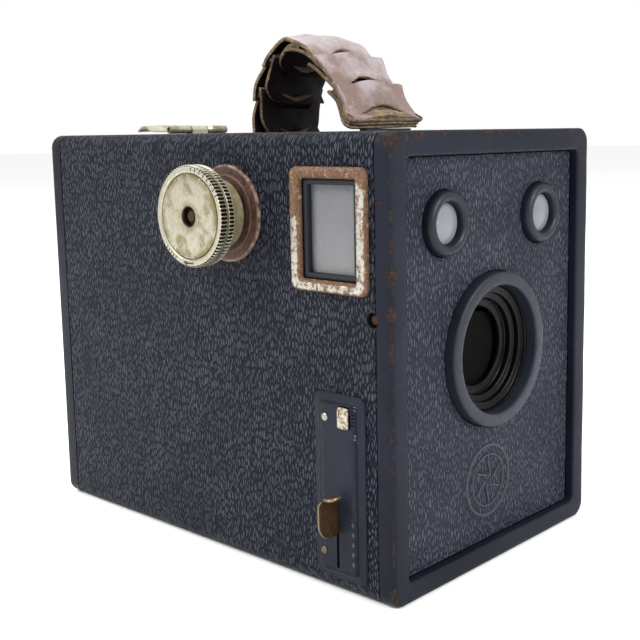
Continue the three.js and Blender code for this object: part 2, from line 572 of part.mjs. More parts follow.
function buildRear() {
  const low = REAR_SEAM + GAP;
  const shell = sleeve(0, low, REAR);
  const hollow = sleeve(CAP_SHEET, low - 1, REAR - CAP_SHEET);
  const sight = rod("y", [RED_WINDOW.x, 0, RED_WINDOW.z], RED_WINDOW.radius, 0, 70, 28);
  const hingeAt = [0, HINGE.y, HINGE.z];
  const notch = box(-4.4, 4.4, low - 1, REAR + 1, -1, 3.4);
  let cover = shell.subtract(hollow).subtract(sight);
  for (const side of [-1, 1]) {
    const x0 = side < 0 ? -HINGE.halfX : 4.4;
    const x1 = side < 0 ? -4.4 : HINGE.halfX;
    cover = cover.add(rod("x", hingeAt, HINGE.knuckle, x0, x1, 20));
    cover = cover.add(box(x0, x1, REAR - 0.2, HINGE.y, HINGE.z, HINGE.z + HINGE.knuckle));
  }
  cover = cover.subtract(notch).subtract(rod("x", hingeAt, HINGE.bore, -20, 20, 20));
  add("rear_cover", cover, finish.enamel);

  const skinShape = roundedShape(-37.5, 37.5, 5, 103.5, 2.5);
  const skin = extruded("y", skinShape, REAR + SKIN_GAP, REAR + SKIN_GAP + COVERING);
  add("rear_leatherette", skin.subtract(sight), finish.leatherette);
  const glass = rod("y", [RED_WINDOW.x, 0, RED_WINDOW.z], RED_WINDOW.radius + 1.5, 63.1, 63.8, 28);
  add("red_window", glass, finish.rubyPlastic);

  const leaf = box(-4, 4, 50, HINGE.y, HINGE.z + 0.4, HINGE.z + 0.9);
  const knuckle = rod("x", hingeAt, HINGE.knuckle, -4, 4, 20);
  const root = leaf.add(knuckle).subtract(rod("x", hingeAt, HINGE.bore, -20, 20, 20));
  add("rear_hinge_leaf", root, finish.steel);
  const pinEnd = HINGE.halfX + 0.4;
  add("rear_hinge_pin", rod("x", hingeAt, HINGE.pin, -pinEnd, pinEnd, 14), finish.steel);

  const plateShape = roundedShape(-30, 30, 10, 98, 3);
  const plateFace = GATE.face + 1.2;
  const plate = extruded("y", plateShape, plateFace, plateFace + 0.6);
  add("pressure_plate", plate.subtract(sight), finish.blackPaint);
  const bow = polygon([
    [63.6, 30], [63.9, 30], [63.9, 36], [61, 54], [63.9, 72], [63.9, 78],
    [63.6, 78], [63.6, 72.2], [60.5, 54.8], [60.5, 53.2], [63.6, 35.8],
  ]);
  add("pressure_spring", extruded("x", bow, -6, 3), finish.steel);
}

function buildLatch() {
  const at = [0, LATCH.y, LATCH.z];
  const bore = rod("x", at, LATCH.bore, -20, 20, 14);
  const foot = box(-3, 3, LATCH.y - LATCH.roll, LATCH.y + LATCH.roll, HEIGHT - COVERING, LATCH.z);
  const knuckle = rod("x", at, LATCH.roll, -3, 3, 20).add(foot).subtract(bore);
  add("latch_bracket", knuckle, finish.nickel);
  add("latch_pin", rod("x", at, LATCH.pin, -LATCH.halfX + 0.6, LATCH.halfX - 0.6, 12), finish.steel);

  const lowest = HEIGHT + 0.45;
  const strip = [
    [LATCH.y, LATCH.z - 0.5], [52, lowest + 0.1], [56.5, lowest + 0.1],
    [58.3, 109.7], [60, 110.2], [62, 109.9],
    [LATCH.tip, lowest + 0.2],
  ];
  const thick = 0.55;
  const raised = strip.map(([y, z]) => [y, z + thick]).reverse();
  const leaf = extruded("x", polygon([...strip, ...raised]), -LATCH.halfX, LATCH.halfX);
  const rolled = rod("x", at, LATCH.roll, -LATCH.halfX, LATCH.halfX, 20);
  const room = box(-3.3, 3.3, LATCH.y - 3, LATCH.y + 2.2, HEIGHT - 1, HEIGHT + 6);
  add("latch_tongue", leaf.add(rolled).subtract(bore).subtract(room), finish.nickel);
}

// ---- carrying strap ------------------------------------------------------------------------
const STRAP_ROUTE = [
  [8.2, 109.1], [8.7, 115], [7, 121.5], [2.2, 127.6], [-4, 132.8], [-9.5, 131], [-16, 125.6],
  [-22, 118.4], [-26.5, 112.8], [-29.4, 109.9],
];
const STRAP_FEET = [[8.2, "rear"], [-28.6, "front"]];

function strapFeet(grow) {
  const boxes = STRAP_FEET.map(([y]) => box(
    -9 - grow, 9 + grow, y - 1.2 - grow, y + 1.2 + grow, HEIGHT - COVERING - grow, HEIGHT + 1,
  ));
  return boxes[0].add(boxes[1]);
}

function buildStrap() {
  for (const [y, name] of STRAP_FEET) {
    const foot = box(-9, 9, y - 1.2, y + 1.2, HEIGHT - COVERING, HEIGHT + 0.6);
    add(`strap_lug_${name}`, foot, finish.steel);
  }
  const route = new THREE.CatmullRomCurve3(STRAP_ROUTE.map(([y, z]) => new THREE.Vector3(0, y, z)));
  const length = route.getLength();
  const link = length / STRAP.links;
  for (let i = 0; i < STRAP.links; i++) {
    const from = i * link + GAP / 2;
    const to = (i + 1) * link - GAP / 2;
    const upper = [];
    const lower = [];
    const pieces = 4;
    for (let k = 0; k <= pieces; k++) {
      const along = (from + ((to - from) * k) / pieces) / length;
      const point = route.getPointAt(along);
      const tangent = route.getTangentAt(along);
      const normal = new THREE.Vector2(-tangent.z, tangent.y).multiplyScalar(STRAP.thick / 2);
      upper.push([point.y + normal.x, point.z + normal.y]);
      lower.push([point.y - normal.x, point.z - normal.y]);
    }
    const outline = polygon([...lower, ...upper.reverse()]);
    const half = i === STRAP.links - 1 ? STRAP.endHalf : STRAP.half;
    add(`strap_link_${i + 1}`, extruded("x", outline, -half, half), finish.strapLeather);
  }
}

buildShell();
buildFront();
buildLensFront();
buildShutter();
buildShutterSide();
buildFinderFronts();
buildFinderInside();
buildSideFinder();
buildTopFinder();
buildWinder();
buildCarrier();
buildFilmPath();
buildRear();
buildLatch();
buildStrap();

export default group;
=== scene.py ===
"""Looks of the box camera: fine shells, leather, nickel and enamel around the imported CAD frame."""

import functools
import math
import random

import bmesh
import bpy
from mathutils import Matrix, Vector, geometry


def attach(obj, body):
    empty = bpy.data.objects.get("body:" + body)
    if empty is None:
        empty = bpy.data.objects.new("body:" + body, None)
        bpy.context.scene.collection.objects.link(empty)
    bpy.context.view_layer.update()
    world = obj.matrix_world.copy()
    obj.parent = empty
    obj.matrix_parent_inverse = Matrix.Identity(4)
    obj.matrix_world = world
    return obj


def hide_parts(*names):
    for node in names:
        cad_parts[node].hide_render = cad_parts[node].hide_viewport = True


MM = 0.001
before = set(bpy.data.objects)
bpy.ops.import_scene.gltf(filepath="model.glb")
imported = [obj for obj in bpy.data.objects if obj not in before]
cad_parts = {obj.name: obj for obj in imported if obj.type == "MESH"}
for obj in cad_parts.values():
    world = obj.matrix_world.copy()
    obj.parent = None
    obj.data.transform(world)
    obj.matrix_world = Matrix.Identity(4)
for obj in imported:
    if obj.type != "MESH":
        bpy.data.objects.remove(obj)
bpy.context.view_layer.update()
random.seed(6)

# Driving sizes in millimetres, in the CAD frame: X right, Y back, Z up, lens towards -Y.
HALF_W, HEIGHT = 41.5, 108.0
OUTER = (-HALF_W, HALF_W, 0.0, HEIGHT)
FRONT_SEAM, REAR_SEAM = -60.2, 60.0
EDGE = 3.5
LENS_Z = 54.0
RECESS = (-36.0, 36.0, 5.0, 102.3)
PANEL_Y = -62.7
KNOB_AT = (0.0, -12.5, 88.4)
SHUTTER = (-57.1, -41.4, 3.8, 48.4)
SIDE_FINDER = (-58.7, -35.2, 71.6, 100.2)
TOP_FINDER = (9.0, 31.0, -58.8, -34.8)
RED_WINDOW = (15.0, 40.0, 5.5)
LEVER_Y = -48.6
WORN_EDGE = 0.85
KNOB_RIM = -53.93
SCREW_AT = (0, -59.3, 66.5)
FINDERS = ((-20, "left"), (20, "right"))
FINDER_Z = 86.6


# ---- materials -----------------------------------------------------------------------------
class Paint:
    """A node material for the Principled shader, with lengths in millimetres."""

    def __init__(self, name):
        self.material = bpy.data.materials.new(name)
        self.material.use_nodes = True
        self.tree = self.material.node_tree
        self.shader = self.tree.nodes["Principled BSDF"]

    def node(self, kind, feeds=None, **settings):
        """A new node; feeds go to its inputs, by name or number, and settings are its properties."""
        made = self.tree.nodes.new(kind)
        for key, value in settings.items():
            setattr(made, key, value)
        for key, value in (feeds or {}).items():
            self.feed(made.inputs[key], value)
        return made

    def feed(self, target, value):
        """Links a socket to the input, or sets the input to a plain value."""
        if isinstance(value, bpy.types.NodeSocket):
            self.tree.links.new(value, target)
        else:
            target.default_value = value

    def set(self, name, value):
        self.feed(self.shader.inputs[name], value)

    def scaled(self, output, scale):
        """A kind of texture coordinates, times a scale per axis."""
        source = self.node("ShaderNodeTexCoord").outputs[output]
        return self.node("ShaderNodeVectorMath", {0: source, 1: scale}, operation="MULTIPLY").outputs[0]

    def place(self, sx=1.0, sy=1.0, sz=1.0):
        """Object coordinates, times a scale per axis."""
        return self.scaled("Object", (sx / MM, sy / MM, sz / MM))

    def flat(self, su=1.0, sv=1.0):
        """Surface coordinates, which the UV map keeps, times a scale."""
        return self.scaled("UV", (su, sv, 1.0))

    def noise(self, vector, scale, detail=3.0, rough=0.5):
        feeds = {"Vector": vector, "Scale": scale, "Detail": detail, "Roughness": rough}
        return self.node("ShaderNodeTexNoise", feeds).outputs["Fac"]

    def cells(self, vector, scale):
        """Distance to the edge of the nearest cell."""
        feeds = {"Vector": vector, "Scale": scale}
        return self.node("ShaderNodeTexVoronoi", feeds, feature="DISTANCE_TO_EDGE").outputs["Distance"]

    def warp(self, vector, scale, amount):
        """The vector, pushed about by a noise."""
        shove = self.node("ShaderNodeTexNoise", {"Vector": vector, "Scale": scale}).outputs["Color"]
        feeds = {0: shove, 1: (amount, amount, amount), 2: vector}
        return self.node("ShaderNodeVectorMath", feeds, operation="MULTIPLY_ADD").outputs[0]

    def math(self, operation, a, b=0.0, c=0.5):
        return self.node("ShaderNodeMath", {0: a, 1: b, 2: c}, operation=operation).outputs[0]

    def times(self, a, b):
        return self.math("MULTIPLY", a, b)

    def most(self, a, b):
        return self.math("MAXIMUM", a, b)

    def step(self, value, low, high, out_low=0.0, out_high=1.0):
        """Smooth step of the value between low and high, which may run either way."""
        feeds = {"Value": value, "From Min": low, "From Max": high, "To Min": out_low, "To Max": out_high}
        return self.node("ShaderNodeMapRange", feeds, interpolation_type="SMOOTHSTEP").outputs["Result"]

    def patches(self, vector, noise, low, high, out_low=0.0, out_high=1.0):
        """Noise of (scale, detail, roughness), as patches between two levels."""
        return self.step(self.noise(vector, *noise), low, high, out_low, out_high)

    def stain(self, tone, vector, noise, low, high, share, color):
        """The tone, with patches of a colour that cover it by up to this share."""
        return self.mix(self.patches(vector, noise, low, high, 0.0, share), tone, color)

    def mix(self, factor, a, b):
        feeds = {"Factor": factor}
        for place, tone in ((6, a), (7, b)):
            feeds[place] = tone if isinstance(tone, bpy.types.NodeSocket) else (*tone, 1.0)
        return self.node("ShaderNodeMix", feeds, data_type="RGBA").outputs[2]

    def axis(self, index):
        """One object coordinate: 0 is x, 1 is y and 2 is z."""
        return self.node("ShaderNodeSeparateXYZ", {0: self.place()}).outputs[index]

    def radius(self, about):
        """Distance from an axis that runs along X through (y, z)."""
        gaps = [self.math("SUBTRACT", self.axis(k + 1), about[k]) for k in (0, 1)]
        return self.math("SQRT", self.math("ADD", *(self.math("POWER", gap, 2.0) for gap in gaps)))

    def distance(self, vector, point):
        return self.node("ShaderNodeVectorMath", {0: vector, 1: point}, operation="DISTANCE").outputs["Value"]

    def edge(self, along, point, reach):
        """0.75 on an edge line that runs along an axis through a point, fading out at the reach."""
        keep = [0.0 if axis == along else 1.0 for axis in "xyz"]
        gap = self.distance(self.place(*keep), [k * c for k, c in zip(keep, point)])
        return self.step(gap, reach, reach * 0.3, 0.0, 0.75)

    def near(self, spots):
        """1 at the listed (x, y, z, radius) places, fading to 0 at the radius."""
        total = None
        for x, y, z, radius in spots:
            fade = self.step(self.distance(self.place(), (x, y, z)), radius, radius * 0.15)
            total = fade if total is None else self.most(total, fade)
        return total

    def bump(self, height, depth, strength=1.0):
        """Adds a bump of this depth, on top of any bump made before."""
        made = self.node("ShaderNodeBump", {"Strength": strength, "Distance": depth * MM, "Height": height})
        existing = self.shader.inputs["Normal"]
        if existing.is_linked:
            self.tree.links.new(existing.links[0].from_socket, made.inputs["Normal"])
        self.tree.links.new(made.outputs["Normal"], existing)

    def finish(self, tone, rough, height, depth, strength, metal=0.0, shine=0.5):
        """Feeds the shader, adds the last bump and returns the material."""
        self.set("Base Color", tone)
        self.set("Roughness", rough)
        self.set("Metallic", metal)
        self.set("Specular IOR Level", shine)
        self.bump(height, depth, strength)
        return self.material


# Dark and pale grain tones, then the light tone that is laid on as painted highlight flecks.
LEATHER_TONES = ((0.027, 0.031, 0.044), (0.041, 0.047, 0.062), (0.063, 0.070, 0.087))


def leatherette(name, lift=1.0, groove=1.0, fleck=0.5):
    """Charcoal-blue grained covering: long narrow pebbles that run up the sides, with near-black painted
    shade in the grooves between them and light painted highlight flecks.
    """
    p = Paint(name)
    grid = p.warp(p.flat(1 / 0.72, 1 / 2.2), 0.5, 0.8)
    dome = p.step(p.cells(grid, 1.0), 0.02, 0.26)
    fine = p.noise(p.flat(1.6, 0.8), 1.9, 4.0, 0.65)
    broad = p.noise(p.flat(), 0.05, 4.0, 0.55)
    dark, pale, worn = ([c * lift for c in shade] for shade in LEATHER_TONES)
    tone = p.mix(p.step(broad, 0.3, 0.7), dark, pale)
    # Painted highlight: the third tone, named worn, is laid on as light flecks along the fine noise.
    tone = p.mix(p.step(fine, 0.46, 0.70, 0.0, fleck), tone, worn)
    # Painted shade: the grooves between the pebbles go near black, by the groove share.
    tone = p.mix(p.step(dome, 0.95, 0.1, 0.0, groove), tone, (0.002, 0.003, 0.008))
    tone = p.stain(tone, p.flat(), (1.7, 2.0, 0.5), 0.74, 0.79, 0.6, (0.20, 0.20, 0.21))
    rough = p.step(fine, 0.25, 0.75, 0.42, 0.62)
    return p.finish(tone, rough, p.math("ADD", dome, p.times(fine, 0.45)), 0.5, 1.0, shine=0.11)


def enamel(name, spots=(), base=(0.0056, 0.0068, 0.0115), shine=0.09, lines=()):
    """Slate-blue stove enamel with an orange-peel surface, chips and rust at the worn places.

    spots are (x, y, z, radius); lines are edges, as (along, point) with along the axis they run on.
    """
    p = Paint(name)
    here = p.place()
    broad = p.noise(here, 0.035, 3.0, 0.55)
    tone = p.mix(p.step(broad, 0.3, 0.72), base, tuple(c * 1.8 for c in base))
    tone = p.stain(tone, here, (0.22, 5.0, 0.65), 0.5, 0.75, 0.4, (0.010, 0.008, 0.0075))
    rough = p.patches(here, (0.6, 4.0, 0.6), 0.3, 0.7, 0.34, 0.5)
    if spots:
        ragged = p.math("SUBTRACT", p.noise(here, 0.42, 8.0, 0.8), 0.5)
        place = p.near(spots)
        for along, point in lines:
            place = p.most(place, p.edge(along, point, WORN_EDGE))
        mask = p.step(p.math("MULTIPLY_ADD", ragged, 3.4, place), 0.62, 0.95)
        rust_tones = ((0.011, 0.008, 0.0078), (0.038, 0.024, 0.021))
        rust = p.mix(p.patches(here, (1.3, 5.0, 0.75), 0.35, 0.65), *rust_tones)
        tone = p.mix(mask, tone, rust)
        rough = p.math("ADD", rough, p.times(mask, 0.35))
        p.bump(p.times(mask, p.noise(here, 1.1, 4.0, 0.7)), 0.2, 0.8)
    tone = p.stain(tone, here, (1.4, 2.0, 0.5), 0.745, 0.78, 0.5, (0.12, 0.12, 0.13))
    return p.finish(tone, rough, p.noise(here, 0.9, 2.0, 0.5), 0.05, 0.35, shine=shine)


def nickel(name, stain=0.5, rust=0.0, shift=0.0, about=None, worn=None, lift=(1.0, 1.0, 1.0)):
    """Old nickel plate: cream metal with olive stains, and brown rust where the plate has gone.

    about is the axis (y, z) of the knob, whose dirt gathers in rings; worn lists rusted places.
    """
    p = Paint(name)
    here = p.warp(p.place(), 0.3, 1.5 + shift)
    stains = p.patches(here, (0.17, 5.0, 0.62), 0.64 - 0.2 * stain, 0.8 - 0.2 * stain, 0.0, 0.8)
    shades = ((0.20, 0.185, 0.13), (0.50, 0.47, 0.38))
    pale, cream = ([c * up for c, up in zip(shade, lift)] for shade in shades)
    tone = p.mix(p.noise(here, 1.1, 5.0, 0.7), pale, cream)
    if about:
        # Dirt in the groove inside the rim, round the hub and on the neck; dark knurling.
        radius = p.radius(about)
        outer = p.times(p.step(radius, 8.0, 9.8), p.step(radius, 10.35, 10.15))
        hub = p.times(p.step(radius, 4.6, 2.4), 0.8)
        ragged = p.patches(here, (0.35, 5.0, 0.7), 0.32, 0.56)
        rings = p.times(p.most(outer, hub), ragged)
        disc = p.times(stains, p.step(radius, 10.2, 9.6))
        along = p.axis(0)
        smear = p.patches(here, (0.3, 4.0, 0.6), 0.2, 0.7, 0.5, 1.0)
        neck = p.times(p.step(along, -50.2, -47.5), smear)
        stains = p.most(p.most(rings, disc), neck)
        grooves = p.times(p.step(radius, 12.12, 11.9), p.step(along, -53.88, -53.7))
    tone = p.mix(stains, tone, (0.13, 0.105, 0.03))
    tone = p.stain(tone, here, (2.2, 4.0, 0.7), 0.62, 0.70, 0.75, (0.11, 0.08, 0.04))
    if about:
        knurled = p.times(grooves, p.step(along, -49.8, -50.1))
        tone = p.mix(p.times(knurled, p.step(radius, 10.6, 11.0)), tone, (0.022, 0.016, 0.008))
        tone = p.mix(p.step(radius, 2.75, 2.45), tone, (0.02, 0.013, 0.007))
    rough = p.patches(here, (0.8, 4.0, 0.6), 0.3, 0.7, 0.3, 0.5)
    metal = p.math("SUBTRACT", 0.8, p.times(stains, 0.55))
    if rust or worn:
        ragged = p.noise(here, 0.75, 7.0, 0.76)
        if worn:
            lean = p.math("MULTIPLY_ADD", p.near(worn), 0.3, ragged)
            ragged = p.math("ADD", lean, p.step(p.axis(0), -42.88, -42.5, 0.0, 0.3))
        mask = p.step(ragged, 0.62 - 0.22 * rust, 0.68 - 0.22 * rust)
        brown_tones = ((0.03, 0.012, 0.007), (0.17, 0.078, 0.036))
        brown = p.mix(p.patches(here, (1.5, 6.0, 0.75), 0.3, 0.7), *brown_tones)
        brown = p.stain(brown, here, (0.8, 6.0, 0.78), 0.55, 0.64, 0.7, (0.36, 0.28, 0.11))
        tone = p.mix(mask, tone, brown)
        metal = p.times(metal, p.math("SUBTRACT", 1.0, mask))
        rough = p.math("ADD", rough, p.times(mask, 0.3))
        p.bump(mask, -0.06, 0.8)
    return p.finish(tone, rough, p.noise(here, 2.2, 4.0, 0.6), 0.04, 0.5, metal=metal)


def rusty(name, warm=(0.105, 0.047, 0.030), about=None):
    """Steel gone red-brown all over, worn paler in places."""
    p = Paint(name)
    here = p.place()
    tone = p.mix(p.patches(here, (0.9, 7.0, 0.75), 0.3, 0.7), (0.022, 0.010, 0.007), warm)
    tone = p.stain(tone, here, (0.2, 5.0, 0.7), 0.5, 0.66, 0.6, (0.10, 0.066, 0.045))
    if about:
        ragged = p.patches(here, (0.5, 5.0, 0.7), 0.4, 0.6)
        worn = p.times(p.step(p.radius(about), 11.2, 11.7), ragged)
        tone = p.mix(worn, tone, (0.22, 0.155, 0.11))
    rough = p.patches(here, (0.9, 4.0, 0.6), 0.3, 0.7, 0.42, 0.68)
    return p.finish(tone, rough, p.noise(here, 1.5, 6.0, 0.7), 0.1, 0.7, metal=0.2, shine=0.35)


def bronze(name):
    """Dark bronze, rubbed brighter in patches."""
    p = Paint(name)
    here = p.place()
    tone = p.mix(p.noise(here, 0.35, 4.0, 0.6), (0.030, 0.015, 0.009), (0.085, 0.045, 0.020))
    tone = p.stain(tone, here, (1.2, 5.0, 0.7), 0.56, 0.66, 0.5, (0.15, 0.095, 0.04))
    rough = p.patches(here, (0.8, 4.0, 0.6), 0.3, 0.7, 0.28, 0.5)
    return p.finish(tone, rough, p.noise(here, 1.8, 4.0, 0.6), 0.03, 0.4, metal=0.6)


def plain(name, color, rough=0.5, metal=0.0, grain=1.2, depth=0.02, shine=0.5):
    """A simple finish that still varies in tone, gloss and level."""
    p = Paint(name)
    here = p.place()
    cloud = p.noise(here, grain, 4.0, 0.6)
    tone = p.mix(cloud, tuple(c * 0.7 for c in color), tuple(c * 1.3 for c in color))
    rough = p.step(cloud, 0.25, 0.75, max(rough - 0.08, 0.03), min(rough + 0.1, 1.0))
    return p.finish(tone, rough, cloud, depth, 0.4, metal=metal, shine=shine)


def milk_glass(name):
    """Clouded viewing glass with pale dust, darker and greyer towards its top as painted shade."""
    p = Paint(name)
    here = p.place()
    # Painted shade: the tone darkens and greys from z 76 up to z 97.
    foot, top = 76.0, 97.0
    rise = p.step(p.axis(2), foot, top)
    tone = p.mix(rise, (0.165, 0.16, 0.163), (0.125, 0.128, 0.14))
    tone = p.stain(tone, here, (0.12, 3.0, 0.5), 0.35, 0.7, 0.4, (0.13, 0.13, 0.145))
    tone = p.stain(tone, here, (1.3, 2.0, 0.5), 0.70, 0.76, 0.6, (0.40, 0.40, 0.43))
    rough = p.patches(here, (0.4, 3.0, 0.5), 0.3, 0.7, 0.25, 0.4)
    return p.finish(tone, rough, p.noise(here, 1.3, 3.0, 0.5), 0.02, 0.3, shine=0.3)


def bright_glass(name):
    """A finder objective: a milky disc with pale pinkish specks, and a painted reflection that makes it
    brighter towards one side.
    """
    p = Paint(name)
    here = p.place()
    # Painted reflection: a broad noise makes one side of the disc lighter.
    side = p.noise(here, 0.1, 2.0, 0.5)
    tone = p.mix(side, (0.10, 0.108, 0.125), (0.20, 0.20, 0.215))
    tone = p.stain(tone, here, (0.8, 4.0, 0.65), 0.6, 0.72, 0.6, (0.30, 0.24, 0.22))
    rough = p.step(side, 0.3, 0.7, 0.14, 0.24)
    return p.finish(tone, rough, p.noise(here, 0.7, 2.0, 0.5), 0.02, 0.3, shine=0.35)


def hide(name, dark=False):
    """Polished red-brown strap leather: a pale mauve painted sheen on the red-brown, strongest towards the
    top, with creases and small scars.
    """
    p = Paint(name)
    here = p.place()
    # dark makes a near-black copy of the hide: painted shade for the strap's faces that turn away from the
    # light.
    if dark:
        tone = p.mix(p.noise(here, 0.2, 5.0, 0.6), (0.004, 0.0025, 0.0025), (0.010, 0.006, 0.006))
        rough = p.patches(here, (0.6, 4.0, 0.6), 0.3, 0.7, 0.5, 0.7)
        return p.finish(tone, rough, p.noise(here, 1.5, 5.0, 0.65), 0.08, 0.6, shine=0.12)
    # Painted sheen: pale mauve where the strap rises to its crest, more of the brown below z 114.
    top, foot = 128.0, 114.0
    low = p.step(p.axis(2), top, foot)
    broad = p.math("ADD", p.noise(here, 0.11, 5.0, 0.6), p.times(low, 0.14))
    tone = p.mix(p.step(broad, 0.4, 0.66), (0.262, 0.218, 0.225), (0.125, 0.072, 0.056))
    fibres = p.noise(p.place(0.5, 2.0, 2.0), 0.8, 7.0, 0.75)
    tone = p.mix(p.step(fibres, 0.5, 0.7, 0.0, 0.5), tone, (0.075, 0.040, 0.034))
    tone = p.stain(tone, here, (0.9, 6.0, 0.75), 0.58, 0.68, 0.55, (0.48, 0.38, 0.34))
    tone = p.stain(tone, here, (1.4, 3.0, 0.6), 0.70, 0.76, 0.7, (0.42, 0.29, 0.12))
    p.set("Base Color", tone)
    p.set("Roughness", p.patches(here, (0.35, 5.0, 0.6), 0.3, 0.7, 0.26, 0.44))
    p.set("Specular IOR Level", 0.6)
    p.set("Coat Weight", 0.3)
    p.set("Coat Roughness", 0.3)
    p.bump(p.math("ADD", p.noise(here, 0.7, 7.0, 0.7), p.times(fibres, 0.8)), 0.14, 0.55)
    return p.material


def raw_edge(name):
    """Cut leather: layered tan and golden fibres, with near-black bands between them as painted shade in the
    hollows.
    """
    p = Paint(name)
    layers = p.noise(p.place(0.4, 1.5, 1.5), 1.0, 6.0, 0.72)
    # Painted shade: near black in the hollows between the layers.
    tone = p.mix(p.step(layers, 0.38, 0.60), (0.026, 0.016, 0.010), (0.19, 0.12, 0.052))
    tone = p.stain(tone, p.place(), (1.3, 5.0, 0.75), 0.54, 0.66, 0.5, (0.44, 0.36, 0.22))
    tone = p.stain(tone, p.place(), (0.35, 3.0, 0.6), 0.46, 0.62, 0.75, (0.050, 0.040, 0.032))
    return p.finish(tone, p.step(layers, 0.3, 0.7, 0.55, 0.8), layers, 0.3, 0.9)


# ---- mesh helpers ----------------------------------------------------------------------------
def piece(name, mesh_parts, looks, body, stands_for, sharp=38):
    """Makes one object from parts, each of (points in mm, faces, uvs, material index or list)."""
    mesh = bpy.data.meshes.new(name)
    work = bmesh.new()
    layer = work.loops.layers.uv.new("UVMap")
    for points, faces, uvs, index in mesh_parts:
        verts = [work.verts.new(Vector(p) * MM) for p in points]
        for number, corners in enumerate(faces):
            made = work.faces.new([verts[i] for i in corners])
            made.material_index = index[number] if isinstance(index, list) else index
            made.smooth = True
            for k, loop in enumerate(made.loops):
                loop[layer].uv = uvs[number][k]
    bmesh.ops.remove_doubles(work, verts=work.verts, dist=1e-7)
    bmesh.ops.dissolve_degenerate(work, edges=work.edges, dist=1e-8)
    bmesh.ops.recalc_face_normals(work, faces=work.faces)
    work.to_mesh(mesh)
    work.free()
    mesh.set_sharp_from_angle(angle=math.radians(sharp))
    made = bpy.data.objects.new(name, mesh)
    bpy.context.scene.collection.objects.link(made)
    for look in looks if isinstance(looks, (list, tuple)) else [looks]:
        mesh.materials.append(look)
    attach(made, body)
    if stands_for:
        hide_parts(*stands_for)
    return made


def turned(name, profile, axis, at, segments, look, body, stands_for):
    """A piece that is one turned profile."""
    piece(name, [lathe(profile, axis, at, segments)], look, body, stands_for)


def cut(target, cutters):
    """Takes the cutter parts away from the target for good."""
    points, faces = [], []
    for part_points, part_faces, _, _ in cutters:
        base = len(points)
        points += [tuple(c * MM for c in p) for p in part_points]
        faces += [tuple(base + i for i in f) for f in part_faces]
    mesh = bpy.data.meshes.new("cutter")
    mesh.from_pydata(points, [], faces)
    work = bmesh.new()
    work.from_mesh(mesh)
    bmesh.ops.remove_doubles(work, verts=work.verts, dist=1e-7)
    bmesh.ops.recalc_face_normals(work, faces=work.faces)
    work.to_mesh(mesh)
    work.free()
    tool = bpy.data.objects.new("cutter", mesh)
    bpy.context.scene.collection.objects.link(tool)
    change = target.modifiers.new("cut", "BOOLEAN")
    change.object = tool
    change.operation = "DIFFERENCE"
    change.solver = "EXACT"
    apply_modifiers(target)
    bpy.data.objects.remove(tool)


def apply_modifiers(target):
    bpy.context.view_layer.update()
    shaped = target.evaluated_get(bpy.context.evaluated_depsgraph_get())
    baked = bpy.data.meshes.new_from_object(shaped)
    target.modifiers.clear()
    target.data = baked


def rounded(u0, u1, v0, v1, radius, arc=8, side=1):
    """Counter-clockwise loop of (u, v) points of a rectangle with rounded corners."""
    corners = [
        (u1 - radius, v0 + radius, -90), (u1 - radius, v1 - radius, 0),
        (u0 + radius, v1 - radius, 90), (u0 + radius, v0 + radius, 180),
    ]
    arcs = []
    for cu, cv, start in corners:
        turn = [math.radians(start + 90 * i / arc) for i in range(arc + 1)]
        arcs.append([(cu + radius * math.cos(a), cv + radius * math.sin(a)) for a in turn])
    points = []
    for k in range(4):
        points += arcs[k]
        a, b = arcs[k][-1], arcs[(k + 1) % 4][0]
        points += [
            (a[0] + (b[0] - a[0]) * i / side, a[1] + (b[1] - a[1]) * i / side) for i in range(1, side)
        ]
    return points


def grown(box, amount):
    u0, u1, v0, v1 = box
    return (u0 - amount, u1 + amount, v0 - amount, v1 + amount)


def on_x(x):
    return lambda u, v: (x, u, v)


def on_y(y):
    return lambda u, v: (u, y, v)


def on_z(z):
    return lambda u, v: (u, v, z)


def box_rings(stations, put_at, arc, side):
    """Rings of rounded rectangles from (box, growth, corner radius, level) stations."""
    rings = []
    for box, growth, radius, level in stations:
        put = put_at(level)
        rings.append([put(u, v) for u, v in rounded(*grown(box, growth), radius, arc, side)])
    return rings


def loft(rings, closed=False, capped=False, index=0):
    """Quads between closed rings of points. U runs along the rings and V around them, in mm."""
    count = len(rings[0])
    points = [p for ring in rings for p in ring]
    around = [0.0]
    for i in range(count):
        a, b = Vector(rings[0][i]), Vector(rings[0][(i + 1) % count])
        around.append(around[-1] + (b - a).length)
    along = [0.0]
    for k in range(len(rings) - 1):
        along.append(along[-1] + (Vector(rings[k + 1][0]) - Vector(rings[k][0])).length)
    faces, uvs = [], []
    last = len(rings) if closed else len(rings) - 1
    for k in range(last):
        nxt = (k + 1) % len(rings)
        v0, v1 = along[k], along[k + 1] if k + 1 < len(rings) else along[k] + 1.0
        for i in range(count):
            j = (i + 1) % count
            faces.append((k * count + i, k * count + j, nxt * count + j, nxt * count + i))
            uvs.append(((v0, around[i]), (v0, around[i + 1]), (v1, around[i + 1]), (v1, around[i])))
    for ring in (0, len(rings) - 1) if capped else ():
        faces.append(tuple(ring * count + i for i in range(count)))
        uvs.append(tuple((x, z) for x, _, z in rings[ring]))
    return points, faces, uvs, index


def lathe(profile, axis, at, segments, index=0, radius_at=None):
    """Turns (radius, place along the axis) points about the x or y axis through `at`.

    A profile runs from the axis back to the axis, or stays clear of it and is closed.
    """
    rings = []
    for radius, along in profile:
        ring = []
        for i in range(segments):
            a = 2 * math.pi * i / segments
            r = radius_at(radius, along, i) if radius_at else radius
            u, v = r * math.cos(a), r * math.sin(a)
            if axis == "x":
                ring.append((along + at[0], at[1] + u, at[2] + v))
            else:
                ring.append((at[0] + u, along + at[1], at[2] + v))
        rings.append(ring)
    return loft(rings, closed=profile[0][0] > 0, index=index)


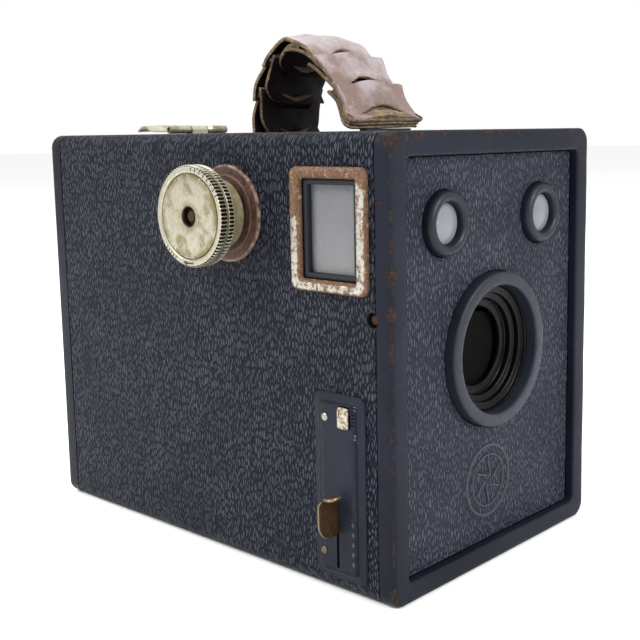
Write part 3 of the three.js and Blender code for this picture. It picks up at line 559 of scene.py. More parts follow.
def cuboid(x0, x1, y0, y1, z0, z1, index=0):
    return bar([(x0, y0), (x1, y0), (x1, y1), (x0, y1)], on_z(z0), on_z(z1), index)


def bar(outline, put_low, put_high, index=0):
    """A prism between two places of one outline."""
    return loft([[put(u, v) for u, v in outline] for put in (put_low, put_high)], capped=True, index=index)


def inside(point, loop):
    x, y = point
    result = False
    for i in range(len(loop)):
        (x0, y0), (x1, y1) = loop[i], loop[i - 1]
        if (y0 > y) != (y1 > y) and x < (x1 - x0) * (y - y0) / (y1 - y0) + x0:
            result = not result
    return result


def sheet_metal(outline, holes, place, thick, spacing=None, bulge=0.0, looks=(0, 0, 0)):
    """A flat or bent sheet: outline and holes in (u, v), place(u, v, w) gives the point in mm.

    looks are the material indices of the upper face, the cut edge and the lower face.
    """
    points = [Vector(p) for p in outline]
    edges = [(i, (i + 1) % len(outline)) for i in range(len(outline))]
    for hole in holes:
        base = len(points)
        points += [Vector(p) for p in hole]
        edges += [(base + i, base + (i + 1) % len(hole)) for i in range(len(hole))]
    if spacing:
        us, vs = [p[0] for p in outline], [p[1] for p in outline]
        rows = int((max(vs) - min(vs)) / spacing)
        columns = int((max(us) - min(us)) / spacing)
        for r in range(1, rows):
            for c in range(1, columns):
                at = (
                    min(us) + (c + 0.5 * (r % 2)) * (max(us) - min(us)) / columns,
                    min(vs) + r * (max(vs) - min(vs)) / rows,
                )
                clear = min((Vector(at) - q).length for q in points[: len(edges)]) > 0.45 * spacing
                if clear and inside(at, outline) and not any(inside(at, h) for h in holes):
                    points.append(Vector(at))
    verts, _, faces, *_ = geometry.delaunay_2d_cdt(points, edges, [], 1, 1e-5)
    kept = []
    for f in faces:
        middle = sum((verts[i] for i in f), Vector((0, 0))) / len(f)
        if inside(middle, outline) and not any(inside(middle, h) for h in holes):
            kept.append(tuple(f))
    used = dict.fromkeys(side for f in kept for side in zip(f, f[1:] + f[:1]))
    rim = [(a, b) for a, b in used if (b, a) not in used]
    n = len(verts)
    half = thick / 2
    out = [place(v.x, v.y, half) for v in verts]
    out += [place(v.x, v.y, -half) for v in verts]
    all_faces = kept + [tuple(n + i for i in reversed(f)) for f in kept]
    index = [looks[0]] * len(kept) + [looks[2]] * len(kept)
    push = {}
    for a, b in rim:
        d = (verts[b] - verts[a]).normalized()
        normal = Vector((d.y, -d.x))
        for i in (a, b):
            push[i] = push.get(i, Vector((0, 0))) + normal
    middle_of = {}
    for i, normal in push.items():
        moved = verts[i] + normal.normalized() * bulge if normal.length > 1e-6 else verts[i]
        middle_of[i] = len(out)
        out.append(place(moved.x, moved.y, 0.0))
    for a, b in rim:
        all_faces.append((b, a, middle_of[a], middle_of[b]))
        all_faces.append((middle_of[b], middle_of[a], n + a, n + b))
        index += [looks[1], looks[1]]
    flat = [(v.x, v.y) for v in verts] * 2 + [(verts[i].x, verts[i].y) for i in middle_of]
    return out, all_faces, [[flat[i] for i in f] for f in all_faces], index


def dress(look, *nodes):
    for node in nodes:
        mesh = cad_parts[node].data
        mesh.materials.clear()
        mesh.materials.append(look)


# ---- looks -----------------------------------------------------------------------------------
FRAME_RUST = [
    (-40.5, -64.5, 107.0, 7.0), (-36.0, -64.8, 107.5, 4.5), (-31.0, -64.9, 107.6, 4.0),
    (-22.0, -65, 107.6, 2.6), (-5.0, -65, 107.8, 4.0), (0.0, -65, 107.6, 3.0), (8.0, -65, 107.9, 2.5),
    (33.0, -65, 107.4, 4.0), (-41.0, -64.9, 76.0, 4.5), (-41.3, -64.9, 68.0, 3.5),
    (-41.4, -65, 60.0, 2.4), (-41.0, -65, 40.0, 3.0), (-41.0, -65, 3.0, 3.5), (38.0, -65, 100.0, 3.0),
    (-36.5, -64.6, 6.0, 2.0), (-41.5, -61.0, 92.0, 2.5),
]
LEATHER = leatherette("leatherette")
# A lighter copy of the leatherette for the front face, as painted light, with less groove shade and fewer
# highlight flecks.
LIT_FRONT_LEATHER = leatherette("front_leatherette", 1.22, 0.68, 0.2)
FRAME_LINES = [("z", (-41.3, -64.8, 0)), ("x", (0, -64.8, 107.8)), ("z", (-36.0, -64.9, 0))]
ENAMEL = enamel("front_enamel", FRAME_RUST, lines=FRAME_LINES)
COVER_ENAMEL = enamel("cover_enamel", [(-41, 63, 106, 4), (41, 64, 30, 4), (0, 65, 107.5, 3)])
PLATE_RUST = [(-42.0, -42.1, 47.7, 1.6), (-42.0, -41.6, 8.5, 1.2)]
PLATE_ENAMEL = enamel("plate_enamel", PLATE_RUST, (0.0085, 0.0098, 0.0145))
GLOSS_ENAMEL = enamel("bezel_enamel", (), (0.0095, 0.012, 0.018), 0.22)
FINDER_ENAMEL = enamel("finder_enamel", (), (0.0045, 0.006, 0.0105), 0.25)
BLACK = plain("black_paint", (0.0022, 0.0022, 0.0026), 0.28, shine=0.12)
MATT_BLACK = plain("matt_black", (0.0022, 0.0022, 0.0025), 0.7, shine=0.05)
SHEET = plain("lacquered_sheet", (0.012, 0.012, 0.014), 0.5, shine=0.25)
SLATE = plain("slate_mask", (0.012, 0.0145, 0.020), 0.5, shine=0.25)
NICKEL = nickel("knob_nickel", 0.8, about=KNOB_AT[1:], lift=(1.12, 1.12, 1.12))
FINDER_WORN = [(-43, y, 100, 5.0) for y in (-55, -51, -47, -43, -39, -35.5)]
FINDER_WORN += [(-43, -35.5, z, 3.5) for z in (97, 94, 91)] + [(-43, -57.5, 99, 4.0)]
FINDER_NICKEL = nickel("finder_nickel", 0.15, 0.54, 1.0, worn=FINDER_WORN, lift=(1.2, 1.23, 1.4))
LATCH_NICKEL = nickel("latch_nickel", 0.8, 0.1, 2.0, lift=(1.5, 1.5, 1.5))
TAB_NICKEL = nickel("tab_nickel", 0.1, 0.62, 3.0, lift=(1.4, 1.4, 1.5))
PLAIN_NICKEL = nickel("plain_nickel", 0.2)
RUST = rusty("flange_rust", about=KNOB_AT[1:])
RIVET_RUST = plain("rivet_rust", (0.038, 0.016, 0.007), 0.5, shine=0.15)
BRONZE = bronze("lever_bronze")
BRASS = plain("old_brass", (0.12, 0.088, 0.048), 0.42, 0.8)
# Brighter brass, painted as highlight on the thumb lever's cut edges.
EDGE_HIGHLIGHT_BRASS = plain("edge_highlight_brass", (0.19, 0.15, 0.09), 0.42, 0.9)
STEEL = plain("satin_steel", (0.30, 0.31, 0.33), 0.38, 0.9)
MILK = milk_glass("milk_glass")
BRIGHT = bright_glass("finder_objective")
LENS_GLASS = plain("lens_glass", (0.02, 0.025, 0.035), 0.06)
MIRROR = plain("silvered", (0.7, 0.72, 0.73), 0.05, 1.0)
RUBY = plain("ruby", (0.13, 0.005, 0.004), 0.18)
HIDE = hide("strap_hide")
# Near-black copy of the strap hide, painted shade.
SHADED_INNER_HIDE = hide("strap_inner_shade", True)
RAW = raw_edge("strap_raw_edge")
MARK = plain("pale_marks", (0.10, 0.105, 0.12), 0.6)
EMBOSSED = plain("embossed_mark", (0.020, 0.023, 0.031), 0.42, shine=0.25)
INK = plain("dark_marks", (0.028, 0.022, 0.010), 0.7)


# ---- body ------------------------------------------------------------------------------------
def screw_holes():
    """Cutters for the two case screws' seats."""
    holes = []
    for side in (-1, 1):
        profile = [(0, side * 20), (1.85, side * 20), (1.85, side * 60), (0, side * 60)]
        holes.append(lathe(profile, "x", SCREW_AT, 28))
    return holes


def build_covering():
    edge = 0.12
    levels = [(0.5, FRONT_SEAM), (edge, FRONT_SEAM), (0.0, FRONT_SEAM + edge)]
    levels += [(0.0, REAR_SEAM - edge), (edge, REAR_SEAM), (0.5, REAR_SEAM)]
    stations = [(OUTER, -inset, EDGE - inset, y) for inset, y in levels]
    wrap = loft(box_rings(stations, on_y, 10, 1), closed=True)
    made = piece("body_covering", [wrap], LEATHER, "root", ["body_leatherette"])
    y0, y1, z0, z1 = SIDE_FINDER
    side, top = (-60, -20), (100, 112)
    # Left side: knob, finder, lever and selector. Top: latch bracket, finder and two strap lugs.
    holes = [
        lathe([(0, -60), (3.4, -60), (3.4, -20), (0, -20)], "x", KNOB_AT, 32),
        cuboid(*side, y0 + 3.2, y1 - 2.7, z0 + 2.7, z1 - 2.7),
        cuboid(*side, LEVER_Y - 0.7, LEVER_Y + 0.7, 6.2, 24.6),
        cuboid(*side, -52.3, -50.1, 41.0, 45.4),
        cuboid(-3.4, 3.4, 46.4, 49.6, *top),
        cuboid(*grown(TOP_FINDER, 0.3), *top),
        cuboid(-9.3, 9.3, 6.7, 9.7, *top),
        cuboid(-9.3, 9.3, -30.1, -27.1, *top),
    ]
    cut(made, holes + screw_holes())


def build_front_frame():
    stations = [
        (OUTER, 0.0, EDGE, -60.5), (OUTER, 0.0, EDGE, -64.0), (OUTER, -0.1, EDGE, -64.45),
        (OUTER, -0.35, EDGE, -64.8), (OUTER, -0.75, EDGE, -64.97), (OUTER, -1.3, EDGE - 0.6, -65.0),
        (RECESS, 0.7, 2.2, -65.0), (RECESS, 0.3, 1.9, -64.93), (RECESS, 0.06, 1.6, -64.7),
        (RECESS, 0.0, 1.5, -64.3), (RECESS, 0.0, 1.5, -62.75), (RECESS, 0.9, 2.4, -62.75),
        (RECESS, 0.9, 2.4, -64.1), (OUTER, -0.9, EDGE - 0.9, -64.1), (OUTER, -0.9, EDGE - 0.9, -60.5),
    ]
    cap = loft(box_rings(stations, on_y, 8, 20), closed=True)
    made = piece("front_cap", [cap], ENAMEL, "root", ["front_frame"], 50)
    wave = random.Random(3)
    phases = [wave.uniform(0, 6.28) for _ in range(6)]
    for v in made.data.vertices:
        x, y, z = (c / MM for c in v.co)
        ripple = math.sin(x * 0.31 + phases[0]) * math.sin(z * 0.23 + phases[1])
        fine = math.sin(x * 0.9 + z * 0.7 + phases[2]) * 0.4
        v.co.y += 0.045 * (ripple + fine) * MM
        if y > -64.5:
            v.co.x += 0.03 * math.sin(z * 0.4 + phases[3]) * MM
    cut(made, screw_holes())


def circle(cu, cv, radius, count=64):
    turns = [2 * math.pi * i / count for i in range(count)]
    return [(cu + radius * math.cos(t), cv + radius * math.sin(t)) for t in turns]


def build_front_covering():
    """The recessed covering, and a raised roundel of two rings and six blades."""
    outline = rounded(*grown(RECESS, -0.3), 1.3, 6)
    holes = [circle(0, LENS_Z, 19.7, 96), *(circle(x, FINDER_Z, 8.0) for x, _ in FINDERS)]
    parts = [sheet_metal(outline, holes, lambda u, v, w: (u, PANEL_Y + 0.25 - w, v), 0.5)]
    at = (-1.9, PANEL_Y, 20.5)
    for radius, wide in ((9.0, 0.5), (6.6, 0.35)):
        section = ((-wide, 0.05), (-wide * 0.6, -0.24), (wide * 0.6, -0.24), (wide, 0.05))
        parts.append(lathe([(radius + r, y) for r, y in section], "y", at, 72, 1))
    for k in range(6):
        a = math.radians(60 * k + 15)
        along, across = (math.cos(a), math.sin(a)), (-math.sin(a), math.cos(a))
        blade = [
            (at[0] + along[0] * r + across[0] * s, at[2] + along[1] * r + across[1] * s)
            for r, s in ((1.4, -0.2), (5.4, 1.9), (5.7, 1.5), (1.7, -0.6))
        ]
        parts.append(bar(blade, on_y(PANEL_Y + 0.05), on_y(PANEL_Y - 0.22), 1))
    piece("front_covering", parts, [LIT_FRONT_LEATHER, EMBOSSED], "root", ["front_leatherette"])


def build_rear():
    rim = REAR_SEAM + 0.3
    stations = [
        (0.9, 2.6, 64.1), (0.9, 2.6, rim), (0.0, EDGE, rim), (0.0, EDGE, 64.0), (0.1, EDGE, 64.45),
        (0.35, EDGE, 64.8), (0.75, EDGE, 64.97), (1.2, EDGE, 65.0), (3.6, 3.0, 65.0),
    ]
    shell = loft(box_rings([(OUTER, -inset, r, y) for inset, r, y in stations], on_y, 8, 12), capped=True)
    knuckles = []
    for x0, x1 in ((-14.0, -4.4), (4.4, 14.0)):
        tube = [(0.9, x0), (1.5, x0), (1.5, x1), (0.9, x1)]
        knuckles.append(lathe(tube, "x", (0, 66.4, 1.6), 32))
        knuckles.append(cuboid(x0, x1, 64.9, 66.0, 2.5, 3.1))
    made = piece("rear_cover_shell", [shell], COVER_ENAMEL, "rear_cover", (), 50)
    x, z, radius = RED_WINDOW
    sight = lathe([(0, 50), (radius, 50), (radius, 70), (0, 70)], "y", (x, 0, z), 48)
    cut(made, [sight, cuboid(-4.4, 4.4, 59, 70, -2, 3.4)])
    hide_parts("rear_cover")
    piece("rear_cover_knuckles", knuckles, COVER_ENAMEL, "rear_cover", ())
    outline = rounded(-37.5, 37.5, 5.0, 103.5, 2.5, 8)
    skin = sheet_metal(outline, [circle(x, z, radius, 48)], lambda u, v, w: (u, 65.35 + w, v), 0.5)
    piece("rear_covering", [skin], LEATHER, "rear_cover", ["rear_leatherette"])
    glass = [(0, 63.1), (7, 63.1), (7, 63.8), (5.2, 63.8), (0, 63.95)]
    turned("ruby_window", glass, "y", (x, 0, z), 48, RUBY, "rear_cover", ["red_window"])


# ---- lens and finders --------------------------------------------------------------------------
def build_lens():
    at = (0, 0, LENS_Z)
    bezel = [(16.0, -62.4), (16.0, -64.7), (16.05, -65.1), (16.25, -65.38), (16.6, -65.48), (17.0, -65.5)]
    bezel += [(18.6, -65.5), (19.0, -65.42), (19.27, -65.2), (19.4, -64.8), (19.4, -62.4)]
    turned("lens_bezel_ring", bezel, "y", at, 128, GLOSS_ENAMEL, "root", ["lens_bezel"])
    tunnel = [
        (17.4, -62.35), (15.75, -62.35), (15.6, -62.2), (15.5, -61.5), (15.3, -61.35), (14.1, -61.3),
        (13.9, -61.15), (13.8, -59.95), (13.6, -59.8), (12.5, -59.75), (12.3, -59.6), (12.2, -58.3),
        (12.0, -58.1), (10.5, -58.0), (10.15, -57.8), (10.0, -57.4), (10.0, -57.0), (14, -57.0),
        (17.4, -61.2),
    ]
    turned("tunnel_rings", tunnel, "y", at, 128, BLACK, "root", ["lens_tunnel"])
    lens = [(0, -50.9), (3.5, -51.1), (7.1, -51.6), (7.1, -50.4), (3.6, -49.5), (0, -49.2)]
    turned("taking_lens", lens, "y", at, 64, LENS_GLASS, "root", ["lens"])
    dress(BRASS, "lens_cell")
    dress(MATT_BLACK, "shutter_base_plate", "front_panel", "finder_housing", "shutter_blade")
    dress(STEEL, "shutter_pivot", "shutter_return_spring")
    ring = [(5.0, -62.4), (5.0, -64.0), (5.1, -64.5), (5.35, -64.85), (5.8, -65.1), (6.35, -65.2)]
    ring += [(6.9, -65.05), (7.35, -64.7), (7.6, -64.2), (7.7, -63.6), (7.7, -62.4)]
    glass = [(0, -63.6), (1.6, -63.55), (3.2, -63.45), (4.4, -63.25), (4.85, -63.1), (4.85, -62.6)]
    glass.append((0, -62.6))
    for x, side in FINDERS:
        at = (x, 0, FINDER_Z)
        nodes = [f"finder_bezel_{side}"]
        turned(f"finder_ring_{side}", ring, "y", at, 96, FINDER_ENAMEL, "root", nodes)
        nodes = [f"finder_lens_{side}"]
        turned(f"finder_objective_{side}", glass, "y", at, 64, BRIGHT, "root", nodes)
    dress(MIRROR, "finder_mirror_left", "finder_mirror_right")


def build_side_finder():
    outer = SIDE_FINDER
    opening = (outer[0] + 3.4, outer[1] - 3.1, outer[2] + 2.8, outer[3] - 2.7)
    stations = [
        (outer, 0.0, 2.0, -41.55), (outer, 0.0, 2.0, -42.1), (outer, -0.15, 2.0, -42.55),
        (outer, -0.5, 1.9, -42.8), (outer, -0.95, 1.6, -42.9), (opening, 1.05, 1.3, -42.9),
        (opening, 0.7, 1.1, -42.78), (opening, 0.25, 0.8, -42.25), (opening, 0.0, 0.6, -41.9),
        (opening, 0.0, 0.6, -41.55),
    ]
    rim = loft(box_rings(stations, on_x, 8, 10), closed=True)
    piece("side_finder_rim", [rim], FINDER_NICKEL, "root", ["side_finder_frame"], 45)
    glass_box = (opening[0] + 1.3, opening[1] - 1.4, opening[2] + 1.4, opening[3] - 1.4)
    stations = [
        (opening, -0.2, 0.4, -39.9), (opening, -0.2, 0.4, -41.2), (opening, -0.35, 0.4, -41.3),
        (glass_box, 0.15, 0.5, -41.3), (glass_box, 0.0, 0.4, -41.1), (glass_box, 0.0, 0.4, -39.9),
    ]
    tray = loft(box_rings(stations, on_x, 4, 2), closed=True)
    piece("side_finder_tray", [tray], SLATE, "root", ["side_finder_mask"])
    dress(MILK, "side_finder_glass", "top_finder_glass")


def build_top_finder():
    opening = grown(TOP_FINDER, -3)
    stations = [
        (TOP_FINDER, 0.0, 1.5, 107.5), (TOP_FINDER, 0.0, 1.5, 107.8), (TOP_FINDER, -0.3, 1.4, 107.95),
        (TOP_FINDER, -0.8, 1.0, 108.0), (opening, 0.8, 1.0, 108.0), (opening, 0.3, 0.8, 107.9),
        (opening, 0.0, 0.6, 107.5),
    ]
    rim = loft(box_rings(stations, on_z, 6, 8), closed=True)
    piece("top_finder_rim", [rim], LATCH_NICKEL, "root", ["top_finder_frame"], 45)


# ---- winding knob -------------------------------------------------------------------------------
def build_knob():
    teeth, per_tooth = 80, 8

    def knurl(radius, along, i):
        if radius < 12.05 or not (-53.75 < along < -50.15):
            return radius
        share = abs(2 * (i % per_tooth) / per_tooth - 1)
        return radius - 0.85 * share**0.9

    profile = [
        (2.3, -53.0), (2.3, -53.75), (2.5, -53.92), (2.9, -54.0), (5.0, -54.05), (8.0, -53.98), (9.6, -53.88),
        (10.05, -53.8), (10.15, -53.6), (10.2, -53.25), (10.35, -53.25), (10.4, -53.7), (10.55, -53.88),
        (10.9, -53.93), (11.8, -53.9), (12.15, -53.72), (12.3, -53.5), (12.3, -52.35), (12.04, -52.2),
        (12.0, -51.95), (12.0, -51.75), (12.04, -51.5), (12.3, -51.35), (12.3, -50.25), (12.15, -50.1),
        (11.8, -49.95), (9.2, -49.9), (8.3, -49.8), (8.05, -49.4), (7.95, -48.6), (8.0, -46.4),
        (8.35, -44.6), (8.5, -43.95), (2.8, -43.8), (2.35, -44.0),
    ]
    body = lathe(profile, "x", KNOB_AT, teeth * per_tooth, radius_at=knurl)
    piece("knob_head", [body], NICKEL, "winder", ["winding_knob"], 50)

    marks = [radial_mark(97 + 8 * k, 10.85, 11.75, 0.3) for k in range(8)]
    marks += [radial_mark(-62 + 5 * k, 10.9, 11.7, 0.26) for k in range(5)]
    arrow = [(-96, 11.05), (-84, 11.1), (-84, 10.75), (-76, 11.3), (-84, 11.85), (-84, 11.5), (-96, 11.45)]
    marks.append(face_mark([polar(a, r) for a, r in arrow]))
    piece("knob_marks", marks, INK, "winder", ())

    shank = [(0, -34.6), (2.25, -34.6), (2.25, -52.2), (1.6, -52.25), (1.5, -52.9), (1.2, -53.2), (0, -53.3)]
    key = cuboid(-34.7, -30.9, -14.8, -10.2, 87.8, 89.0)
    stem = [lathe(shank, "x", KNOB_AT, 40), key]
    piece("winder_stem", stem, RIVET_RUST, "winder", ["winder_shaft"])
    flange = [
        (4.0, -41.6), (4.0, -42.5), (8.6, -42.75), (9.3, -42.72), (9.6, -42.45), (9.9, -42.4),
        (11.2, -42.35), (11.7, -42.25), (11.95, -42.0), (12.0, -41.6),
    ]
    turned("knob_escutcheon", flange, "x", KNOB_AT, 96, RUST, "root", ["knob_flange"])
    washer = [(3.0, -43.0), (3.0, -43.5), (6.2, -43.5), (6.5, -43.35), (6.5, -43.0)]
    turned("friction_washer", washer, "x", KNOB_AT, 64, STEEL, "winder_pull", ["winder_washer"])


def polar(angle, radius):
    """A point on the knob's face: the angle turns from +Y towards +Z."""
    a = math.radians(angle)
    return (KNOB_AT[1] + radius * math.cos(a), KNOB_AT[2] + radius * math.sin(a))


def face_mark(outline):
    """A mark that stands 0.02 mm out of the knob's rim and is rooted in it."""
    return bar(outline, on_x(KNOB_RIM + 0.35), on_x(KNOB_RIM - 0.02))


def radial_mark(angle, r0, r1, wide):
    spread = math.degrees(wide / r1) / 2
    return face_mark([polar(angle + side * spread, r) for side, r in ((-1, r0), (-1, r1), (1, r1), (1, r0))])


# ---- shutter side ---------------------------------------------------------------------------------
def build_shutter_side():
    stations = [
        (0.0, 2.0, -41.55), (0.0, 2.0, -41.8), (0.12, 2.0, -41.98), (0.35, 1.9, -42.04),
        (0.95, 1.6, -42.05), (1.15, 1.5, -42.1), (1.45, 1.4, -42.3), (1.75, 1.3, -42.4), (1.9, 1.2, -42.4),
    ]
    border = loft(box_rings([(SHUTTER, -inset, r, x) for inset, r, x in stations], on_x, 6, 10))
    inner = rounded(*grown(SHUTTER, -1.9), 1.2, 6, 10)
    slot = rounded(LEVER_Y - 0.42, LEVER_Y + 0.42, 6.4, 24.3, 0.4, 4)
    window = rounded(-53.0, -49.4, 40.7, 45.9, 0.4, 4)
    rivets = ((-45.1, 42.5, "top", PLAIN_NICKEL), (-44.2, 9.9, "bottom", BRASS))
    holes = [slot, window, *(circle(y, z, 0.6, 16) for y, z, _, _ in rivets)]
    panel = sheet_metal(inner, holes, lambda u, v, w: (-42.15 - w, u, v), 0.5, 1.5)
    plate = [border, panel]
    piece("shutter_escutcheon", plate, PLATE_ENAMEL, "root", ["shutter_plate"], 50)
    dome = [
        (0, -41.8), (0.55, -41.8), (0.55, -42.35), (0.92, -42.4), (0.9, -42.58), (0.7, -42.75),
        (0.35, -42.85), (0, -42.88),
    ]
    for y, z, name, look in rivets:
        nodes = [f"shutter_plate_rivet_{name}"]
        turned(f"plate_rivet_{name}", dome, "x", (0, y, z), 32, look, "root", nodes)

    # Dark steps beside the selector, then plain strokes in place of the lettering.
    face, root = -42.44, -42.2
    marks = []
    for k in range(6):
        z = 41.6 + 0.85 * k
        y = -53.3 - 0.25 * math.sin(math.pi * k / 5)
        marks.append(cuboid(face, root, y - 0.9, y, z, z + 0.32, 1))
    strokes = [(-54.9, -54.1, z - 0.08, z + 0.08) for z in (38.6, 39.6, 45.4, 46.2)]
    strokes.append((-54.6, -54.44, 38.6, 39.6))
    for k in range(5):
        z = 18.1 - 2.4 * k
        strokes += [(-53.9, -53.0, z - 0.07, z + 0.07), (-53.52, -53.38, z - 0.6, z + 0.6)]
    marks += [cuboid(face, root, *stroke) for stroke in strokes]
    piece("plate_marks", marks, [MARK, MATT_BLACK], "root", ())

    build_lever()
    build_selector()


def build_lever():
    """Thumb fin with a rolled lip, stem through the slot, arm with the yoke for the blade."""
    fin = [(-37.9, 15.7), (-43.4, 14.8)]
    round_x, round_z, reach = -44.55, 18.9, 4.25
    for degrees in range(-100, -181, -8):
        a = math.radians(degrees)
        fin.append((round_x + reach * math.cos(a), round_z + reach * math.sin(a)))
    fin += [(-48.8, 22.9), (-48.55, 23.6), (-47.8, 24.0), (-44.2, 24.0), (-42.2, 23.85), (-37.9, 24.0)]
    blade = sheet_metal(fin, [], lambda u, v, w: (u, LEVER_Y + w, v), 0.5, 0.8, 0.12, (0, 1, 0))
    depth = 3.3
    lip_outline = rounded(-depth, 0.2, -47.6, -43.7, 1.5, 6)

    def lip_place(u, v, w):
        rise = 0.5 * (u / -depth) + 0.25 * math.cos((v + 45.6) / 2.0)
        return (v, LEVER_Y + u, 24.3 + rise + w)

    # The lip's upper face takes material 2, the lighter old brass, as a painted highlight on its lit top; its
    # underside keeps the bronze.
    lip = sheet_metal(lip_outline, [], lip_place, 0.7, 0.5, 0.2, (2, 1, 0))
    web = cuboid(-38.4, -37.9, -54.9, -48.4, 15.7, 39.0)
    slot = rounded(-7.0, -2.4, 35.6, 38.4, 0.6, 4)
    arm_outline = rounded(-38.4, -1.6, 35.0, 39.0, 0.3, 3)
    arm_y = -54.65
    arm = sheet_metal(arm_outline, [slot], lambda u, v, w: (u, arm_y + w, v), 0.5)
    # Material 1, on the cut edges of fin and lip, is a painted highlight.
    looks = [BRONZE, EDGE_HIGHLIGHT_BRASS, BRASS]
    piece("thumb_lever", [blade, lip, web, arm], looks, "shutter_lever", ["shutter_lever"])


def build_selector():
    """A bowed tab outside, with its neck through the window and its foot behind the plate."""
    half = 2.45
    middle_y, middle_z = -51.2, 43.15
    outline = rounded(-1.6, 1.6, -half, half, 0.5, 5)

    def bowed(u, v, w):
        return (-42.65 - 0.45 * math.cos(v / half * 1.2) - w, middle_y + u, middle_z + v)

    tab = sheet_metal(outline, [], bowed, 0.35, 0.6, 0.08)
    neck = cuboid(-43.0, -38.6, -52.0, -50.4, 43.7, 45.1)
    foot = cuboid(-39.2, -38.6, -52.9, -49.5, 43.7, 47.1)
    piece("selector_tab", [tab, neck, foot], TAB_NICKEL, "time_selector", ["time_selector"])


# ---- latch ---------------------------------------------------------------------------------------
def build_latch():
    """Two rolled knuckles and a leaf that humps over the case's edge."""
    half, gap = 11.3, 3.3
    parts = []
    for x0, x1 in ((-half, -gap), (gap, half)):
        start = [(0.75, x0), (0.85, x0), (1.12, x0 + 0.03), (1.2, x0 + 0.15)]
        end = [(1.2, x1 - 0.15), (1.12, x1 - 0.03), (0.85, x1), (0.75, x1)]
        parts.append(lathe(start + end, "x", (0, 48.0, 109.3), 40))
    curve = [
        (48.6, 108.5), (50, 108.55), (52, 108.6), (55.2, 108.62), (56.6, 108.8), (57.8, 109.35),
        (59.0, 109.85), (60.2, 110.05), (61.5, 109.9), (62.8, 109.4), (63.6, 108.95), (64.0, 108.7),
    ]
    thick, columns = 0.5, 24
    shares = [2 * c / columns - 1 for c in range(columns + 1)]
    rings = []
    for y, z in curve:
        wide = half - 0.5 * max(0.0, (y - 62.0) / 2.0)
        row = [(share * wide, y, z + (0.0 if y < 57 else 0.25 * (1 - share**2))) for share in shares]
        rings.append([(x, y, low + thick) for x, _, low in row] + row[::-1])
    parts.append(loft(rings, capped=True))
    made = piece("latch_leaf", parts, LATCH_NICKEL, "latch", ["latch_tongue"], 45)
    cut(made, [cuboid(-gap, gap, 45.0, 50.2, 107.0, 114.0)])
    dress(LATCH_NICKEL, "latch_bracket")
    dress(STEEL, "latch_pin")


# ---- film path and the rest of the inside -----------------------------------------------------------
def build_inside():
    dress(SHEET, "body_shell", "carrier_side_left", "carrier_side_right", "strap_lug_rear", "strap_lug_front")
    dress(MATT_BLACK, "film_cone", "pressure_plate")
    dress(STEEL, "pressure_spring", "rear_hinge_leaf", "rear_hinge_pin")
    half = [
        (0, 27.8), (2.4, 27.8), (2.4, 32.6), (2.6, 32.8), (12.3, 32.8), (12.6, 32.6), (12.6, 32.0),
        (12.3, 31.8), (5.6, 31.8), (5.0, 31.2),
    ]
    for name, z in (("take_up_spool", KNOB_AT[2]), ("supply_spool", 19.6)):
        at = (0, KNOB_AT[1], z)
        turned(f"{name}_fine", mirrored(half), "x", at, 72, BLACK, name, [name])
    half = [(0, -36.2), (1.1, -36.2), (1.2, -36.1), (1.2, -34.0), (2.8, -34.0), (3.0, -33.8)]
    for name, z in (("film_roller_top", 100.5), ("film_roller_bottom", 7.5)):
        at = (0, 51.0, z)
        turned(f"{name}_fine", mirrored(half), "x", at, 48, PLAIN_NICKEL, name, [name])
    head = [(0, 40.7), (0.5, 40.68), (1.1, 40.5), (1.4, 40.2), (1.4, 40.0), (0.9, 39.9)]
    head += [(0.9, 37.0), (0, 37.0)]
    for side, name in ((-1, "left"), (1, "right")):
        screw = [(r, side * x) for r, x in head]
        nodes = [f"front_screw_{name}"]
        name = f"case_screw_{name}"
        turned(name, screw, "x", SCREW_AT, 32, RIVET_RUST, "root", nodes)


def mirrored(half):
    """A profile and its mirror image, end to end."""
    return half + [(r, -along) for r, along in reversed(half)]


# ---- strap -------------------------------------------------------------------------------------------
STRAP_ROUTE = [
    (7.4, 108.3), (7.5, 112.5), (6.7, 117.0), (5.5, 121.3), (2.8, 125.3), (-0.8, 128.8), (-4.5, 131.0),
    (-9.0, 130.2), (-14.5, 126.4), (-19.5, 121.3), (-24.0, 115.8), (-27.0, 112.2), (-29.6, 110.6),
]


class Route:
    """A smooth line through the (y, z) points, by length."""

    def __init__(self, points, steps=24):
        ends = [points[0], *points, points[-1]]
        dense = []
        for k in range(1, len(ends) - 2):
            p0, p1, p2, p3 = (Vector(ends[k + d]) for d in (-1, 0, 1, 2))
            for i in range(steps):
                t = i / steps
                a = 2 * p1 + (p2 - p0) * t + (2 * p0 - 5 * p1 + 4 * p2 - p3) * t * t
                dense.append((a + (3 * p1 - p0 - 3 * p2 + p3) * t**3) / 2)
        dense.append(Vector(points[-1]))
        self.points = dense
        self.lengths = [0.0]
        for a, b in zip(dense, dense[1:]):
            self.lengths.append(self.lengths[-1] + (b - a).length)
        self.total = self.lengths[-1]

    def at(self, s):
        """Point and outward normal at length s; the line runs on straight past its ends."""
        clamped = min(max(s, 0.0), self.total - 1e-6)
        k = next(i for i in range(len(self.lengths) - 1) if self.lengths[i + 1] >= clamped)
        a, b = self.points[k], self.points[k + 1]
        share = (clamped - self.lengths[k]) / (self.lengths[k + 1] - self.lengths[k])
        before = self.points[max(k - 3, 0)]
        after = self.points[min(k + 4, len(self.points) - 1)]
        tangent = (after - before).normalized()
        point = a.lerp(b, share) + tangent * (s - clamped)
        return point, Vector((tangent.y, -tangent.x))


